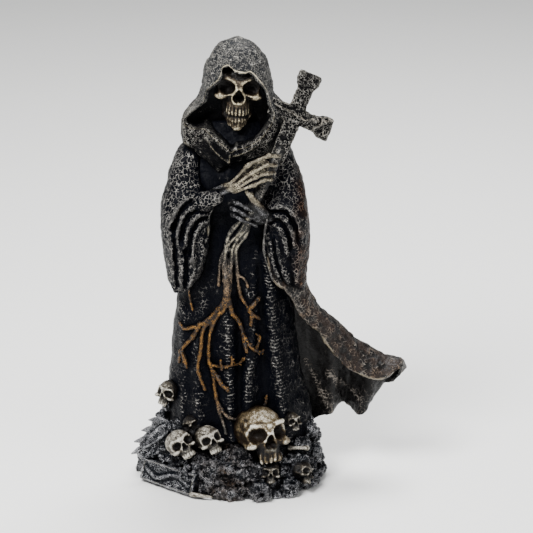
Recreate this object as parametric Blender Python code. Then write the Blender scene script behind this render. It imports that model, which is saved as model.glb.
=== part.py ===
# Resin statue of a hooded skeleton that holds a cross on a root staff, on a mound of skulls and rubble.
#
# The real thing is one casting, so every form below is a closed mesh that overlaps its neighbours.
# The forms are joined, fused by a voxel remesh, thinned to a faceted solid and cut flat underneath.
#
# The figure is carved on its own grid: CROWN steps from the floor to the top of the hood.
# x runs to the viewer's right, y away from the viewer and z up; the origin is on the underside,
# straight below the figure's axis. Every carved point is (x, y, z) in grid steps.

import math

import bpy
import numpy as np
from mathutils import Matrix, Vector
from mathutils.bvhtree import BVHTree

# Driving sizes, in metres.
STATUE_HEIGHT = 0.228
BASE_WIDTH = 0.096
BASE_DEPTH = 0.072
BASE_HEIGHT = 0.016
CAPE_THICKNESS = 0.0030
CROSS_BAR_WIDTH = 0.0082
CROSS_BAR_THICKNESS = 0.0044
FINGER_WIDTH = 0.0031
ROOT_WIDTH = 0.0042
PLAQUE_HEIGHT = 0.0115
PLAQUE_THICKNESS = 0.0045

# The carver's grid.
CROWN = 456
STEP = STATUE_HEIGHT / CROWN

RUBBLE_LUMPS = 34

# How finely the forms are meshed and fused.
FUSE_VOXEL = 0.00075
SOLID_TRIANGLES = 9300
RING_SIDES = 72
FLOOR_CUT_DEPTH = 0.02

RESIN_COLOUR = (0.020, 0.020, 0.024, 1.0)


def clear_scene():
    for obj in list(bpy.data.objects):
        bpy.data.objects.remove(obj)


def through(rows, count):
    """A smooth curve through rows of numbers, read at count places (Catmull-Rom)."""
    rows = np.array(rows, float)
    place = np.linspace(0, len(rows) - 1, count)
    cell = np.minimum(place.astype(int), len(rows) - 2)
    part = (place - cell).reshape((-1,) + (1,) * (rows.ndim - 1))
    padded = np.concatenate([2 * rows[:1] - rows[1:2], rows, 2 * rows[-1:] - rows[-2:-1]])
    before, first, second, after = (padded[cell + k] for k in range(4))
    return first + 0.5 * part * (
        second - before
        + part * (2 * before - 5 * first + 4 * second - after
                  + part * (3 * (first - second) + after - before)))


def around(table, angles):
    """A value given at some angles in degrees, read all the way round and rounded at its corners."""
    table = sorted(table)
    at = [row[0] for row in table]
    value = [row[1] for row in table]
    dense = np.linspace(-180, 180, 721)
    flat = np.interp(dense, at, value, period=360)
    near = np.array([1, 2, 3, 4, 3, 2, 1], float)
    wrapped = np.concatenate([flat[-4:-1], flat, flat[1:4]])
    flat = np.convolve(wrapped, near / near.sum(), mode="valid")
    return np.interp(np.asarray(angles), dense, flat, period=360)


def form(name, points, faces):
    """One closed helper mesh, from points in grid steps."""
    mesh = bpy.data.meshes.new(name)
    mesh.from_pydata((np.asarray(points) * STEP).tolist(), [], faces)
    mesh.update()
    obj = bpy.data.objects.new(name, mesh)
    bpy.context.scene.collection.objects.link(obj)
    return obj


def loft(name, rings):
    """A closed body through rings of points, with a fan of faces over each end."""
    rings = np.asarray(rings, float)
    count, sides = rings.shape[:2]
    points = [*rings.reshape(-1, 3), rings[0].mean(axis=0), rings[-1].mean(axis=0)]
    low, high = count * sides, count * sides + 1
    faces = []
    for i in range(count - 1):
        for j in range(sides):
            k = (j + 1) % sides
            faces.append((i * sides + j, i * sides + k, (i + 1) * sides + k, (i + 1) * sides + j))
    last = (count - 1) * sides
    for j in range(sides):
        k = (j + 1) % sides
        faces.append((low, k, j))
        faces.append((high, last + j, last + k))
    return face_outwards(form(name, points, faces))


def face_outwards(obj):
    """Turns an inside-out form round."""
    mesh = obj.data
    mesh.calc_loop_triangles()
    points = np.empty(len(mesh.vertices) * 3, np.float32)
    mesh.vertices.foreach_get("co", points)
    points = points.reshape(-1, 3).astype(float)
    corners = np.array([t.vertices for t in mesh.loop_triangles])
    volume = np.einsum("ij,ij->i", points[corners[:, 0]],
                       np.cross(points[corners[:, 1]], points[corners[:, 2]])).sum()
    if volume < 0:
        mesh.flip_normals()
    return obj


def standing_rings(rows, count, squareness=1.0):
    """Level rings from rows of (height, left, right, front, back), as a garment is cut."""
    rows = through(rows, count)
    turn = np.linspace(0, 2 * math.pi, RING_SIDES, endpoint=False)
    side = np.sign(np.sin(turn)) * np.abs(np.sin(turn)) ** squareness
    depth = np.sign(-np.cos(turn)) * np.abs(np.cos(turn)) ** squareness
    height, left, right, front, back = rows.T
    middle_x, middle_y = (left + right) / 2, (front + back) / 2
    x = middle_x[:, None] + side * ((right - left) / 2)[:, None]
    y = middle_y[:, None] + depth * ((back - front) / 2)[:, None]
    return np.stack([x, y, np.repeat(height[:, None], RING_SIDES, axis=1)], axis=2)


def stroke_distance(x, z, path):
    """How far each place of the front view is from a carved stroke."""
    path = through(path, 4 * len(path))
    best = np.full(x.shape, np.inf)
    for (x0, z0), (x1, z1) in zip(path[:-1], path[1:]):
        length = max((x1 - x0) ** 2 + (z1 - z0) ** 2, 1e-9)
        share = np.clip(((x - x0) * (x1 - x0) + (z - z0) * (z1 - z0)) / length, 0, 1)
        best = np.minimum(best, np.hypot(x - x0 - share * (x1 - x0), z - z0 - share * (z1 - z0)))
    return best


def carve_front(rings, strokes, middle_y=-8):
    """Raises (or, with a negative height, sinks) folds on the side that faces the viewer."""
    facing = np.clip((middle_y - rings[..., 1]) / 14, 0, 1)
    raised = np.zeros(rings.shape[:2])
    for path, width, height in strokes:
        distance = stroke_distance(rings[..., 0], rings[..., 2], path)
        raised += height * np.exp(-(distance / width) ** 2)
    rings[..., 1] -= raised * facing
    return rings


def sweep(name, path, radii, sides=8, rings=None, flatten=1.0):
    """A round-ended limb along a smooth path, with its own radius at each point of the path."""
    rings = rings or 3 * len(path)
    line = through(path, rings)
    size = np.maximum(through(np.array(radii, float)[:, None], rings)[:, 0], 0.4)
    along = np.gradient(line, axis=0)
    along /= np.linalg.norm(along, axis=1)[:, None]
    up = np.array([0.0, -1.0, 0.0])
    made = []
    turn = np.linspace(0, 2 * math.pi, sides, endpoint=False)
    for point, direction, radius in zip(line, along, size):
        across = np.cross(direction, up)
        across /= max(np.linalg.norm(across), 1e-6)
        out = np.cross(across, direction)
        made.append(point + radius * (np.cos(turn)[:, None] * across
                                      + flatten * np.sin(turn)[:, None] * out))
    made = np.array(made)
    start, end = made[0].mean(axis=0), made[-1].mean(axis=0)
    tip = [start - along[0] * size[0] * 0.6 + (made[0] - start) * 0.6]
    toe = [end + along[-1] * size[-1] * 0.6 + (made[-1] - end) * 0.6]
    return loft(name, np.concatenate([tip, made, toe]))


def ellipsoid(p, centre, radii):
    """Distance-like field of an ellipsoid, negative inside."""
    q = (p - np.array(centre)) / np.array(radii)
    length = np.linalg.norm(q, axis=-1)
    return (length - 1) * min(radii)


def capsule(p, start, end, radius):
    start, end = np.array(start, float), np.array(end, float)
    share = np.clip((p - start) @ (end - start) / ((end - start) @ (end - start)), 0, 1)
    return np.linalg.norm(p - start - share[..., None] * (end - start), axis=-1) - radius


def blend(a, b, soft):
    """Joins two fields with a fillet."""
    h = np.clip(0.5 + 0.5 * (b - a) / soft, 0, 1)
    return b + (a - b) * h - soft * h * (1 - h)


def cut(a, b, soft):
    """Takes field b out of field a, with a rounded lip."""
    return -blend(-a, b, soft)


def skull_field(p, jaw):
    """A skull of cranium radius 1 that looks along -y, with its eye line at z = 0. One with a jaw scowls."""
    brow_middle, brow_end, brow = (0.20, 0.48, 0.095) if jaw else (0.28, 0.38, 0.065)
    field = ellipsoid(p, (0, 0.15, 0.12), (0.93, 1.12, 0.90))
    field = blend(field, ellipsoid(p, (0, -0.46, 0.02), (0.84, 0.50, 0.52)), 0.16)
    field = blend(field, ellipsoid(p, (0, -0.54, -0.70), (0.45, 0.43, 0.50)), 0.20)
    for side in (-1, 1):
        field = cut(field, ellipsoid(p, (side * 1.10, -0.52, 0.12), (0.25, 0.40, 0.32)), 0.14)
        field = blend(field, ellipsoid(p, (side * 0.63, -0.62, -0.46), (0.26, 0.27, 0.15)), 0.18)
        field = blend(field, capsule(p, (side * 0.78, -0.48, -0.42), (side * 0.84, 0.10, -0.24), 0.075), 0.14)
        ridge = capsule(p, (side * 0.07, -0.95, brow_middle), (side * 0.66, -0.78, brow_end), brow)
        field = blend(field, ridge, 0.12)
        field = cut(field, ellipsoid(p, (side * 0.60, -0.86, -0.92), (0.20, 0.34, 0.26)), 0.10)
        field = cut(field, ellipsoid(p, (side * 0.50, -1.00, -0.04), (0.365, 0.56, 0.33)), 0.04)
        if jaw:
            chin_edge = capsule(p, (side * 0.08, -0.80, -1.72), (side * 0.50, -0.32, -1.36), 0.13)
            field = blend(field, chin_edge, 0.08)
            jaw_branch = capsule(p, (side * 0.52, -0.28, -1.34), (side * 0.70, 0.0, -0.45), 0.12)
            field = blend(field, jaw_branch, 0.06)
    if jaw:
        field = blend(field, ellipsoid(p, (0, -0.46, -1.24), (0.38, 0.38, 0.42)), 0.08)
    field = blend(field, capsule(p, (0, -0.90, 0.10), (0, -1.06, -0.10), 0.085), 0.08)
    field = cut(field, ellipsoid(p, (0, -1.02, -0.38), (0.21, 0.42, 0.29)), 0.04)
    for height, tall in ((-1.04, 0.19), (-1.38, 0.14)) if jaw else ((-0.98, 0.19),):
        for place in range(8):
            swing = (place - 3.5) * 0.31
            tooth = (0.44 * math.sin(swing), -0.48 - 0.46 * math.cos(swing), height)
            field = blend(field, ellipsoid(p, tooth, (0.07, 0.085, tall)), 0.015)
    return field


def skull(name, centre, radius, yaw=0, pitch=0, roll=0, jaw=False, rings=48, sides=60):
    """A skull cut from its field by rays from its middle, finest round the face."""
    polar = math.pi * np.linspace(0.02, 0.985, rings) ** 1.2
    turn = np.linspace(0, 2 * math.pi, sides, endpoint=False)
    polar, turn = np.meshgrid(polar, turn, indexing="ij")
    rays = np.stack([np.sin(polar) * np.sin(turn), -np.cos(polar), np.sin(polar) * np.cos(turn)], axis=-1)
    heart = np.array([0, -0.10, -0.45 if jaw else -0.15])
    reach = np.full(polar.shape, 2.6)
    for _ in range(40):
        reach = np.maximum(reach - 0.8 * skull_field(heart + rays * reach[..., None], jaw), 0.12)
    made = (heart + rays * reach[..., None]) * radius
    spin = (Matrix.Rotation(math.radians(yaw), 3, "Z") @ Matrix.Rotation(math.radians(pitch), 3, "X")
            @ Matrix.Rotation(math.radians(roll), 3, "Y"))
    return loft(name, made @ np.array(spin).T + np.array(centre))


def gown_and_cape():
    """The long robe: level rings that widen to the hem, with the folds that the front shows."""
    rings = standing_rings([
        (4, -60, 78, -48, 50), (60, -62, 82, -49, 50), (100, -62, 74, -45, 47), (150, -57, 66, -41, 44),
        (200, -54, 63, -38, 42), (250, -54, 66, -36, 40), (290, -56, 68, -35, 38), (318, -54, 64, -33, 36),
        (340, -45, 54, -28, 32), (356, -32, 42, -22, 27), (372, -20, 32, -16, 20)], 60, 0.86)
    rings = carve_front(rings, [
        ([(-47, 180), (-48, 130), (-50, 60)], 5, 4), ([(-33, 150), (-33, 110), (-31, 55)], 5, 5),
        ([(-4, 220), (-2, 160), (0, 110), (3, 55)], 6, 5), ([(20, 150), (19, 120), (17, 55)], 6, 6),
        ([(38, 240), (43, 170), (50, 110), (58, 55)], 8, 8),
        ([(30, 230), (33, 150), (36, 60)], 7, -5), ([(10, 200), (9, 120), (9, 60)], 5, -4),
        ([(-18, 200), (-17, 120), (-16, 60)], 7, -4)])
    height = rings[..., 2]
    back = np.clip((rings[..., 1] - 8) / 20, 0, 1)
    waves = np.cos(rings[..., 0] * 0.26 - height * 0.012) * np.clip((330 - height) / 200, 0.15, 1)
    rings[..., 1] += 4.0 * back * waves
    return loft("gown", rings)


def sleeves():
    """The two bell sleeves, which hang from the shoulders past the forearms, and the left one's rolled cuff."""
    left = standing_rings([
        (353, -42, -26, -18, 8), (340, -53, -25, -28, 12), (325, -59, -25, -34, 14), (312, -62, -23, -40, 12),
        (300, -66, -18, -49, 8), (287, -68.5, -16, -55, 4), (271, -68.5, -18, -56, 2),
        (251, -66.5, -20, -55, 0), (237, -64, -23, -53, -2), (223, -62, -28, -50, -4),
        (212, -60, -36, -46, -8), (205, -57, -42, -42, -14)], 34, 0.8)
    left = carve_front(left, [
        ([(-56, 285), (-54, 262), (-57, 226)], 4, 4), ([(-44, 282), (-42, 255), (-46, 222)], 4, 4),
        ([(-31, 280), (-29, 255), (-32, 228)], 4, 3.5), ([(-52, 288), (-42, 302), (-24, 306)], 4, 5),
        ([(-46, 290), (-36, 293), (-22, 296)], 3, -4), ([(-37, 276), (-36, 250), (-39, 222)], 3, -3),
        ([(-50, 276), (-49, 250), (-52, 222)], 3, -3)])
    right = standing_rings([
        (358, 36, 52, -14, 8), (344, 36, 61, -26, 12), (328, 38, 67, -34, 14), (313, 33, 72, -42, 10),
        (299, 31, 76, -50, 6), (286, 34, 78, -55, 4), (271, 34, 79.5, -55, 2), (255, 33, 79, -53, 0),
        (240, 33, 78, -50, -2), (226, 38, 77, -46, -4), (214, 48, 77, -38, -6), (204, 60, 75, -30, -10)],
        34, 0.8)
    right = carve_front(right, [
        ([(42, 298), (58, 300), (68, 286), (66, 272)], 4, 4), ([(46, 286), (57, 282), (60, 262)], 3.5, 4),
        ([(48, 268), (52, 240), (60, 216)], 4.5, 4), ([(40, 262), (41, 240), (46, 226)], 3.5, 3),
        ([(52, 292), (62, 286), (64, 270)], 3, -3), ([(46, 272), (46, 246)], 3, -3)])
    cuff = sweep("left_cuff", [(-38, -30, 288), (-28, -42, 298), (-20, -49, 304)], [14, 11.5, 9.0], 14, 9)
    return [loft("left_sleeve", left), loft("right_sleeve", right), cuff]


def wind_blown_cape():
    """The tail that the wind lifts: a front flap, a ridge and a long back panel that ends in a wavy hem."""
    free_edge = through([
        (36, -44, 246), (43, -43, 219), (57, -40, 206), (68, -36, 184), (78, -33, 170), (90, -30, 160),
        (96, -29, 148), (107, -27, 133), (120, -25, 119), (135, -23, 111), (146, -21, 107), (157, -19, 108),
        (169, -11, 115)], 40)
    ridge = through([
        (66, -12, 246), (72, -9, 214), (77, -6, 194), (87, -4, 176), (97, -2, 166), (107, 0, 157),
        (117, 2, 148), (127, 4, 138), (139, 6, 130), (149, 8, 124), (158, 9, 120), (165, 8, 119),
        (172, 3, 118)], 40)
    hem = through([
        (44, 20, 30), (62, 24, 36), (80, 24, 44), (91, 17, 54), (101, 8, 59), (109, 20, 66), (117, 27, 66),
        (126, 17, 61), (133, 6, 59), (144, 16, 74), (155, 22, 87), (165, 18, 91), (171, 8, 103)], 40)
    outwards = np.array([4.0, -3.0, 3.0])
    flap_middle = (free_edge + ridge) / 2 + outwards
    panel_middle = (ridge + hem) / 2 + np.array([5.0, 4.0, 0.0])
    rows = through(np.array([free_edge, flap_middle, ridge, panel_middle, hem]), 29)
    sheet = rows.transpose(1, 0, 2)
    thick = CAPE_THICKNESS / STEP / 2
    along, across = np.gradient(sheet, axis=0), np.gradient(sheet, axis=1)
    normal = np.cross(along, across)
    normal /= np.maximum(np.linalg.norm(normal, axis=2), 1e-6)[..., None]
    front, rear = sheet + normal * thick, (sheet - normal * thick)[:, ::-1]
    return loft("cape_tail", np.concatenate([front, rear], axis=1))


HOOD_MIDDLE = np.array([7.5, 0.0, 400.0])
# Angles in degrees round the face, 0 at the crown and positive to the viewer's right.
HOOD_OUTER = [(0, 56), (14, 54), (35, 46.7), (44, 43), (61, 38), (88, 35), (97, 39), (106, 50), (116, 55),
              (127, 61), (137, 64), (150, 62), (165, 61), (180, 62), (-172, 66), (-166, 75), (-160, 72),
              (-154, 68), (-141, 66), (-131, 71), (-124, 67), (-119, 63), (-114, 60), (-108, 52), (-102, 43),
              (-91, 37.5), (-77, 35), (-63, 37.3), (-46, 42.6), (-34, 46.2), (-20, 52)]
HOOD_RIM = [(-5, 31.5), (6, 30), (18, 30), (23, 33), (32, 32), (44, 30.5), (61, 30.5), (84, 31.5), (100, 34),
            (111, 40), (128, 42), (150, 44), (167, 46.5), (181, 47), (-174, 51), (-165, 46), (-154, 43),
            (-140, 42), (-131, 44), (-124, 54), (-117, 58), (-112, 56), (-107, 48), (-103, 39), (-95, 33),
            (-85, 31.5), (-70, 31), (-57, 28.5), (-40, 28.2), (-29, 31.3), (-22, 37), (-13, 38)]
HOOD_RIM_DEPTH = [(0, -38), (45, -35), (80, -31), (105, -35), (120, -34), (150, -40), (180, -43), (-150, -41),
                  (-120, -27), (-90, -27), (-45, -35)]
HOOD_SIDE_DEPTH = [(0, -2), (85, -2), (106, -8), (125, -12), (150, -28), (180, -33), (-150, -30), (-125, -12),
                   (-90, -2)]


def hood():
    """Hood and cowl: loops round the face that run from the hollow out over the rim to the back of the head."""
    angle = np.linspace(-180, 180, RING_SIDES, endpoint=False)
    outer = around(HOOD_OUTER, angle)
    rim = np.minimum(around(HOOD_RIM, angle), outer - 2.5)
    rim_depth, side_depth = around(HOOD_RIM_DEPTH, angle), around(HOOD_SIDE_DEPTH, angle)
    hollow, cloth, back_depth = -4.0, 3.0, 38.0
    loops = [(rim * 0.15, hollow + 0 * rim), (rim * 0.7, hollow + 0 * rim),
             (rim - cloth, hollow + 0.25 * (rim_depth - hollow)),
             (rim - cloth, hollow + 0.7 * (rim_depth - hollow)),
             (rim - cloth, rim_depth + 2), (rim, rim_depth)]
    for share in (0.18, 0.36, 0.54, 0.7, 0.85, 1.0):
        bend = math.sin(share * math.pi / 2)
        loops.append((rim + (outer - rim) * bend, side_depth + (rim_depth - side_depth) * (1 - share ** 1.6)))
    for share in (0.2, 0.4, 0.6, 0.78, 0.92):
        swing = share * math.pi / 2
        loops.append((outer * math.cos(swing), side_depth + (back_depth - side_depth) * math.sin(swing)))
    turn = np.radians(angle)
    rings = [np.stack([radius * np.sin(turn), depth, radius * np.cos(turn)], axis=1) + HOOD_MIDDLE
             for radius, depth in loops]
    return loft("hood", rings)


def squared_bar(name, middle, along, sideways, outwards, stations, half_width, half_thick):
    """A bar of rounded square section; each station is (reach along it, share of its width)."""
    turn = np.linspace(0, 2 * math.pi, 16, endpoint=False) + math.pi / 16
    across = np.sign(np.cos(turn)) * np.abs(np.cos(turn)) ** 0.35
    deep = np.sign(np.sin(turn)) * np.abs(np.sin(turn)) ** 0.35
    rings = []
    for reach, flare in through(stations, 3 * len(stations)):
        centre = np.array(middle) + np.array(along) * reach
        rings.append(centre + np.outer(across * half_width * flare, sideways)
                     + np.outer(deep * half_thick * (0.7 + 0.3 * flare), outwards))
    return loft(name, rings)


def cross_and_staff():
    """The cross with its flared ends; its shaft runs down through both hands to the roots."""
    half_width, half_thick = CROSS_BAR_WIDTH / STEP / 2, CROSS_BAR_THICKNESS / STEP / 2
    middle = (64.0, -30.0, 384.0)
    up = Vector((16, 12, 38)).normalized()
    right = Vector((33, -6, -13)).normalized()
    face = up.cross(right).normalized()
    shaft = squared_bar("cross_shaft", middle, up, right, face,
                        [(-50, 0.8), (-36, 0.9), (0, 1.0), (17, 0.95), (27, 0.97), (32, 1.3), (38, 1.4),
                         (42, 1.4), (44, 1.25)], half_width, half_thick)
    arms = squared_bar("cross_arms", middle, right, up, face,
                       [(-26, 1.0), (-14, 1.0), (0, 1.0), (15, 0.95), (22, 0.98), (27, 1.3), (32, 1.4),
                        (36, 1.4), (38, 1.25)], half_width, half_thick)
    staff = sweep("staff", [(50, -42, 352), (36, -53, 326), (24, -59, 302), (17, -58, 286)], [6, 6, 6, 5], 10)
    return [shaft, arms, staff]


def hands():
    """The bony hands: the upper one lies across the shaft, the lower one grips the staff below it."""
    bone = FINGER_WIDTH / STEP / 2
    upper = [
        [(2, -60, 323), (14, -63, 338), (21, -64, 344.5), (36, -62, 351), (43, -60, 351.5), (49, -54, 349)],
        [(4, -62, 320), (17, -66, 332), (27, -67, 339), (36, -65, 343), (41, -63, 343), (46, -57, 341)],
        [(5, -63, 318), (20, -67, 328.5), (29, -68, 333.5), (36, -66, 335), (41, -63, 335), (45, -56, 333)],
        [(5, -62, 316), (20, -66, 322), (26, -67, 325), (32, -66, 328), (38, -63, 328.5), (42, -57, 327)]]
    lower = [
        [(31, -57, 291), (20, -65, 299), (12, -67, 304), (6, -65, 306), (3, -59, 305)],
        [(29, -57, 285), (17, -65, 292.5), (9, -66, 297.5), (4, -64, 299), (2, -58, 298)],
        [(26, -56, 280), (15, -63, 286.5), (8, -64, 290.5), (4, -62, 292), (3, -57, 291)]]
    knuckled = np.array([1.05, 0.8, 0.75, 1.0, 0.8, 0.75, 0.95, 0.75, 0.8, 0.65]) * bone
    made = [sweep(f"finger_{i}", through(path, 10), knuckled, 7, 16) for i, path in enumerate(upper + lower)]
    made.append(sweep("upper_forearm", [(-26, -38, 299), (-12, -52, 311), (-1, -60, 318), (3, -62, 320)],
                      [6, 4.4, 4, 4.6], 10))
    made.append(sweep("upper_palm", [(3, -59, 319), (12, -59, 329), (22, -59, 336), (34, -55, 340)],
                      [3.5, 5.5, 7.5, 6.5], 10, flatten=0.4))
    made.append(sweep("lower_forearm", [(46, -40, 280), (38, -50, 287), (31, -55, 291)], [7, 5.5, 5], 10))
    made.append(sweep("lower_hand_back", [(35, -57, 290), (29, -62, 300), (23, -64, 309), (17, -62, 316)],
                      [5, 4.4, 3.2, 2.0], 10, flatten=0.8))
    made.append(sweep("lower_palm", [(32, -54, 284), (26, -58, 291), (18, -59, 298)], [5, 6, 4],
                      10, flatten=0.6))
    return made


# Each root: its course in the front view as (x, z), the radius at its start and its end as shares of
# the trunk's, and how far it stands off the gown.
ROOTS = [
    ([(16, 289), (6, 277), (-1, 265), (-3.5, 254), (-5, 244), (-5.5, 234), (-5, 218)], 0.55, 0.6, 2.5),
    ([(18, 289), (14, 279), (9, 269), (0, 257), (-3, 246)], 0.52, 0.5, 2.5),
    ([(20, 287), (16, 273), (7.5, 261), (3, 251), (2, 242), (1, 228), (0, 208)], 0.55, 0.6, 2.5),
    ([(20, 281), (17, 267), (8.5, 254), (6.6, 246), (7, 233), (8, 220), (9.3, 209), (11.2, 200), (17.3, 190.5),
      (21.2, 182.5), (21.2, 172)], 0.5, 0.5, 2),
    ([(-3.5, 252), (-4.5, 240), (-3.5, 226), (-2.5, 214), (-3, 200)], 0.6, 1.1, 2),
    ([(14, 262), (10, 256), (7.5, 250)], 0.4, 0.4, 2),
    ([(-3, 252), (-7, 245), (-9.4, 235), (-10.2, 224), (-10.6, 213)], 0.4, 0.4, 2),
    ([(19, 187), (24, 193), (28.5, 198)], 0.5, 0.6, 3), ([(20.5, 185), (25, 181), (29.6, 176)], 0.45, 0.5, 3),
    ([(8, 224), (15, 218), (18, 211)], 0.4, 0.4, 2),
    ([(-4, 198), (-12, 186), (-24, 174), (-36, 167), (-46, 164), (-50, 169)], 0.75, 0.45, 2),
    ([(-30, 171), (-35, 160), (-44, 148), (-49, 140), (-51, 128)], 0.65, 0.5, 2),
    ([(-48, 142), (-45, 132), (-43, 125)], 0.5, 0.5, 3),
    ([(0, 198), (-8, 186), (-21, 173), (-27, 164), (-29, 144), (-32, 130), (-30, 118), (-25, 104)],
     0.75, 0.5, 2),
    ([(-10, 184), (-18, 168), (-21, 150), (-21, 134), (-17, 120), (-15, 104), (-12, 92), (-6, 82)],
     0.7, 0.45, 2),
    ([(-16, 122), (-9, 112), (-2, 106)], 0.5, 0.55, 3),
    ([(-14, 100), (-12, 86), (-8, 74), (-4, 60)], 0.45, 0.45, 2),
    ([(-8, 83), (-2, 79), (7, 74)], 0.4, 0.4, 3),
    ([(0, 196), (3, 184), (9, 174), (13, 162), (15, 152), (17, 146)], 0.6, 0.6, 2),
    ([(13, 162), (19, 153), (26, 146), (32, 141)], 0.5, 0.4, 3),
    ([(26, 147), (30, 156), (26, 162)], 0.4, 0.35, 3),
    ([(-17, 128), (-8, 129), (2, 132), (9, 131), (15, 139)], 0.35, 0.4, 3),
    ([(-8, 126), (-9, 136)], 0.35, 0.35, 4), ([(2, 132), (2, 141)], 0.3, 0.3, 4),
    ([(-41, 210), (-40, 198), (-37, 184)], 0.4, 0.3, 2)]


def roots(gown):
    """Roots that spread from the staff over the front of the gown, laid on its surface."""
    surface = BVHTree.FromObject(gown, bpy.context.evaluated_depsgraph_get())
    trunk = ROOT_WIDTH / STEP / 2
    made = []
    for number, (course, start, end, stand_off) in enumerate(ROOTS):
        line = through(course, 3 * len(course))
        path = []
        for x, z in line:
            hit = surface.ray_cast(Vector((x * STEP, -1.0, z * STEP)), Vector((0, 1, 0)))[0]
            # Near the staff the roots leave the gown and rise to the lower hand.
            lift = 17 * min(max((z - 240) / 44, 0), 1) ** 1.3
            path.append((x, hit.y / STEP - stand_off - lift, z))
        path = np.array(path)
        path[1:-1, 1] = (path[:-2, 1] + path[1:-1, 1] + path[2:, 1]) / 3
        thickness = np.linspace(start, end, len(path)) * trunk
        made.append(sweep(f"root_{number}", path, thickness, 6, 2 * len(course)))
    return made


def base_place(x, y, z):
    """A place on the mound, which follows the base's own sizes."""
    return np.array([x * BASE_WIDTH / STEP / 192, y * BASE_DEPTH / STEP / 150, z])


# The mound's outline: angle round the base in degrees, 0 at the front and positive to the viewer's right.
MOUND_OUTLINE = [(0, 84), (25, 90), (48, 93), (70, 95), (90, 94), (120, 84), (150, 70), (180, 66),
                 (-150, 72), (-120, 86), (-100, 95), (-85, 93), (-68, 84), (-48, 78), (-30, 80), (-15, 84)]


def mound():
    """The rubble mound: a rough-sided low block that rises to the gown's hem."""
    top = BASE_HEIGHT / STEP
    turn = np.linspace(-180, 180, RING_SIDES, endpoint=False)
    reach = around(MOUND_OUTLINE, turn) / 95
    rings = []
    for height, share in through([(-3, 0.98), (6, 1.0), (0.5 * top, 0.985), (top, 0.93), (1.3 * top, 0.8),
                                  (1.6 * top, 0.55), (1.7 * top, 0.2)], 20):
        rough = 1 + 0.02 * np.sin(turn * 0.21 + height * 0.5) + 0.018 * np.sin(turn * 0.47 - height * 0.3)
        angle = np.radians(turn)
        away = 95 * share * reach * rough
        rings.append(np.array([base_place(r * math.sin(a), -r * math.cos(a), height)
                               for r, a in zip(away, angle)]))
    return loft("mound", rings)


def rock(name, centre, size, seed):
    """A lump of rubble: a ball pushed in and out by a few sine waves."""
    polar = np.linspace(0.12, math.pi - 0.12, 7)
    turn = np.linspace(0, 2 * math.pi, 9, endpoint=False)
    rings = []
    for tilt in polar:
        rough = 1 + 0.16 * np.sin(3 * turn + seed) * math.sin(2 * tilt + seed)
        rough += 0.08 * np.cos(5 * turn - 2 * seed)
        rings.append(np.stack([size * rough * math.sin(tilt) * np.cos(turn),
                               size * rough * math.sin(tilt) * np.sin(turn),
                               0 * turn - 0.85 * size * math.cos(tilt)], axis=1) + centre)
    return loft(name, rings)


# Skulls of the mound: name, place, cranium radius, then yaw, pitch and roll in degrees.
MOUND_SKULLS = [
    ("great_skull", (30, -56, 63), 25.5, 25, -15, -1), ("left_skull", (-50, -56, 50), 14.5, 12, -26, -28),
    ("middle_skull", (-22, -58, 56), 13.5, 22, -22, -15), ("side_skull", (-61, -20, 93), 12.0, -36, -14, 6),
    ("low_skull", (40, -74, 28), 10.0, 4, -10, 0), ("right_skull", (62, -48, 72), 8.5, 30, -16, 0),
    ("corner_skull", (72, -60, 22), 10.5, 60, -10, 30), ("gnarled_skull", (-38, -42, 66), 10.0, -10, -10, -20),
    ("back_skull", (-46, 48, 46), 15.0, 215, -8, 8), ("rear_skull", (34, 58, 38), 13.0, 168, -6, -12)]


# Lumps of the two piles that rise beside the gown: place and size.
PILES = [(-58, -8, 74, 10), (-62, 4, 60, 12), (-58, 12, 60, 13), (-67, -6, 46, 11), (-68, 10, 42, 13),
         (-74, 2, 28, 12), (-50, -28, 58, 11), (-58, -28, 34, 12), (84, -14, 18, 11), (82, -24, 30, 11),
         (83, -12, 42, 9), (80, -22, 52, 8), (70, -36, 42, 12), (74, -10, 58, 10), (66, -50, 30, 12)]

LEAF_TIPS = [(-83, -10, 59), (-90, -14, 49), (-97, -17, 38), (-100, -20, 26), (-88, -26, 20)]


def leaf():
    """A leaf that leans on the left pile: a flat blade whose edge runs out in points."""
    made = [sweep("leaf_blade", [base_place(-54, -22, 62), base_place(-70, -24, 46), base_place(-88, -24, 26)],
                  [4, 10, 5], 12, 10, flatten=0.35)]
    for i, tip in enumerate(LEAF_TIPS):
        root = (-60 - 4 * i, -22 - i, 56 - 7 * i)
        bend = np.array(root) * 0.4 + np.array(tip) * 0.6 + (0, 0, 2)
        made.append(sweep(f"leaf_{i}", [base_place(*root), base_place(*bend), base_place(*tip)], [6, 4.5, 1.0],
                          8, 8, flatten=0.4))
    return made


def plaque():
    """The stone slab that leans on the mound's left front, with a raised scroll on its face."""
    start, end = base_place(-87, -25, 12), base_place(-34, -74, 12)
    along = Vector(end - start)
    length = along.length
    along.normalize()
    lean = math.radians(20)
    outwards = Vector((along.y, -along.x, 0)) * math.cos(lean) + Vector((0, 0, math.sin(lean)))
    upwards = outwards.cross(along)
    middle = (start + end) / 2
    half = length / 2
    slab = squared_bar("plaque", middle, along, upwards, outwards,
                       [(-half, 0.75), (2 - half, 0.95), (0, 1.0), (half - 2, 1.0), (half, 0.9)],
                       PLAQUE_HEIGHT / STEP / 2, PLAQUE_THICKNESS / STEP / 2)
    scroll = []
    for share in np.linspace(-0.42, 0.42, 9):
        scroll.append(middle + np.array(along) * share * length + np.array(upwards) * 4 * math.sin(9 * share)
                      + np.array(outwards) * PLAQUE_THICKNESS / STEP / 2)
    return [slab, sweep("plaque_scroll", scroll, [1.2, 2.2, 3.0, 3.0, 3.0, 3.0, 3.0, 2.2, 1.2], 8, 24)]


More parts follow.
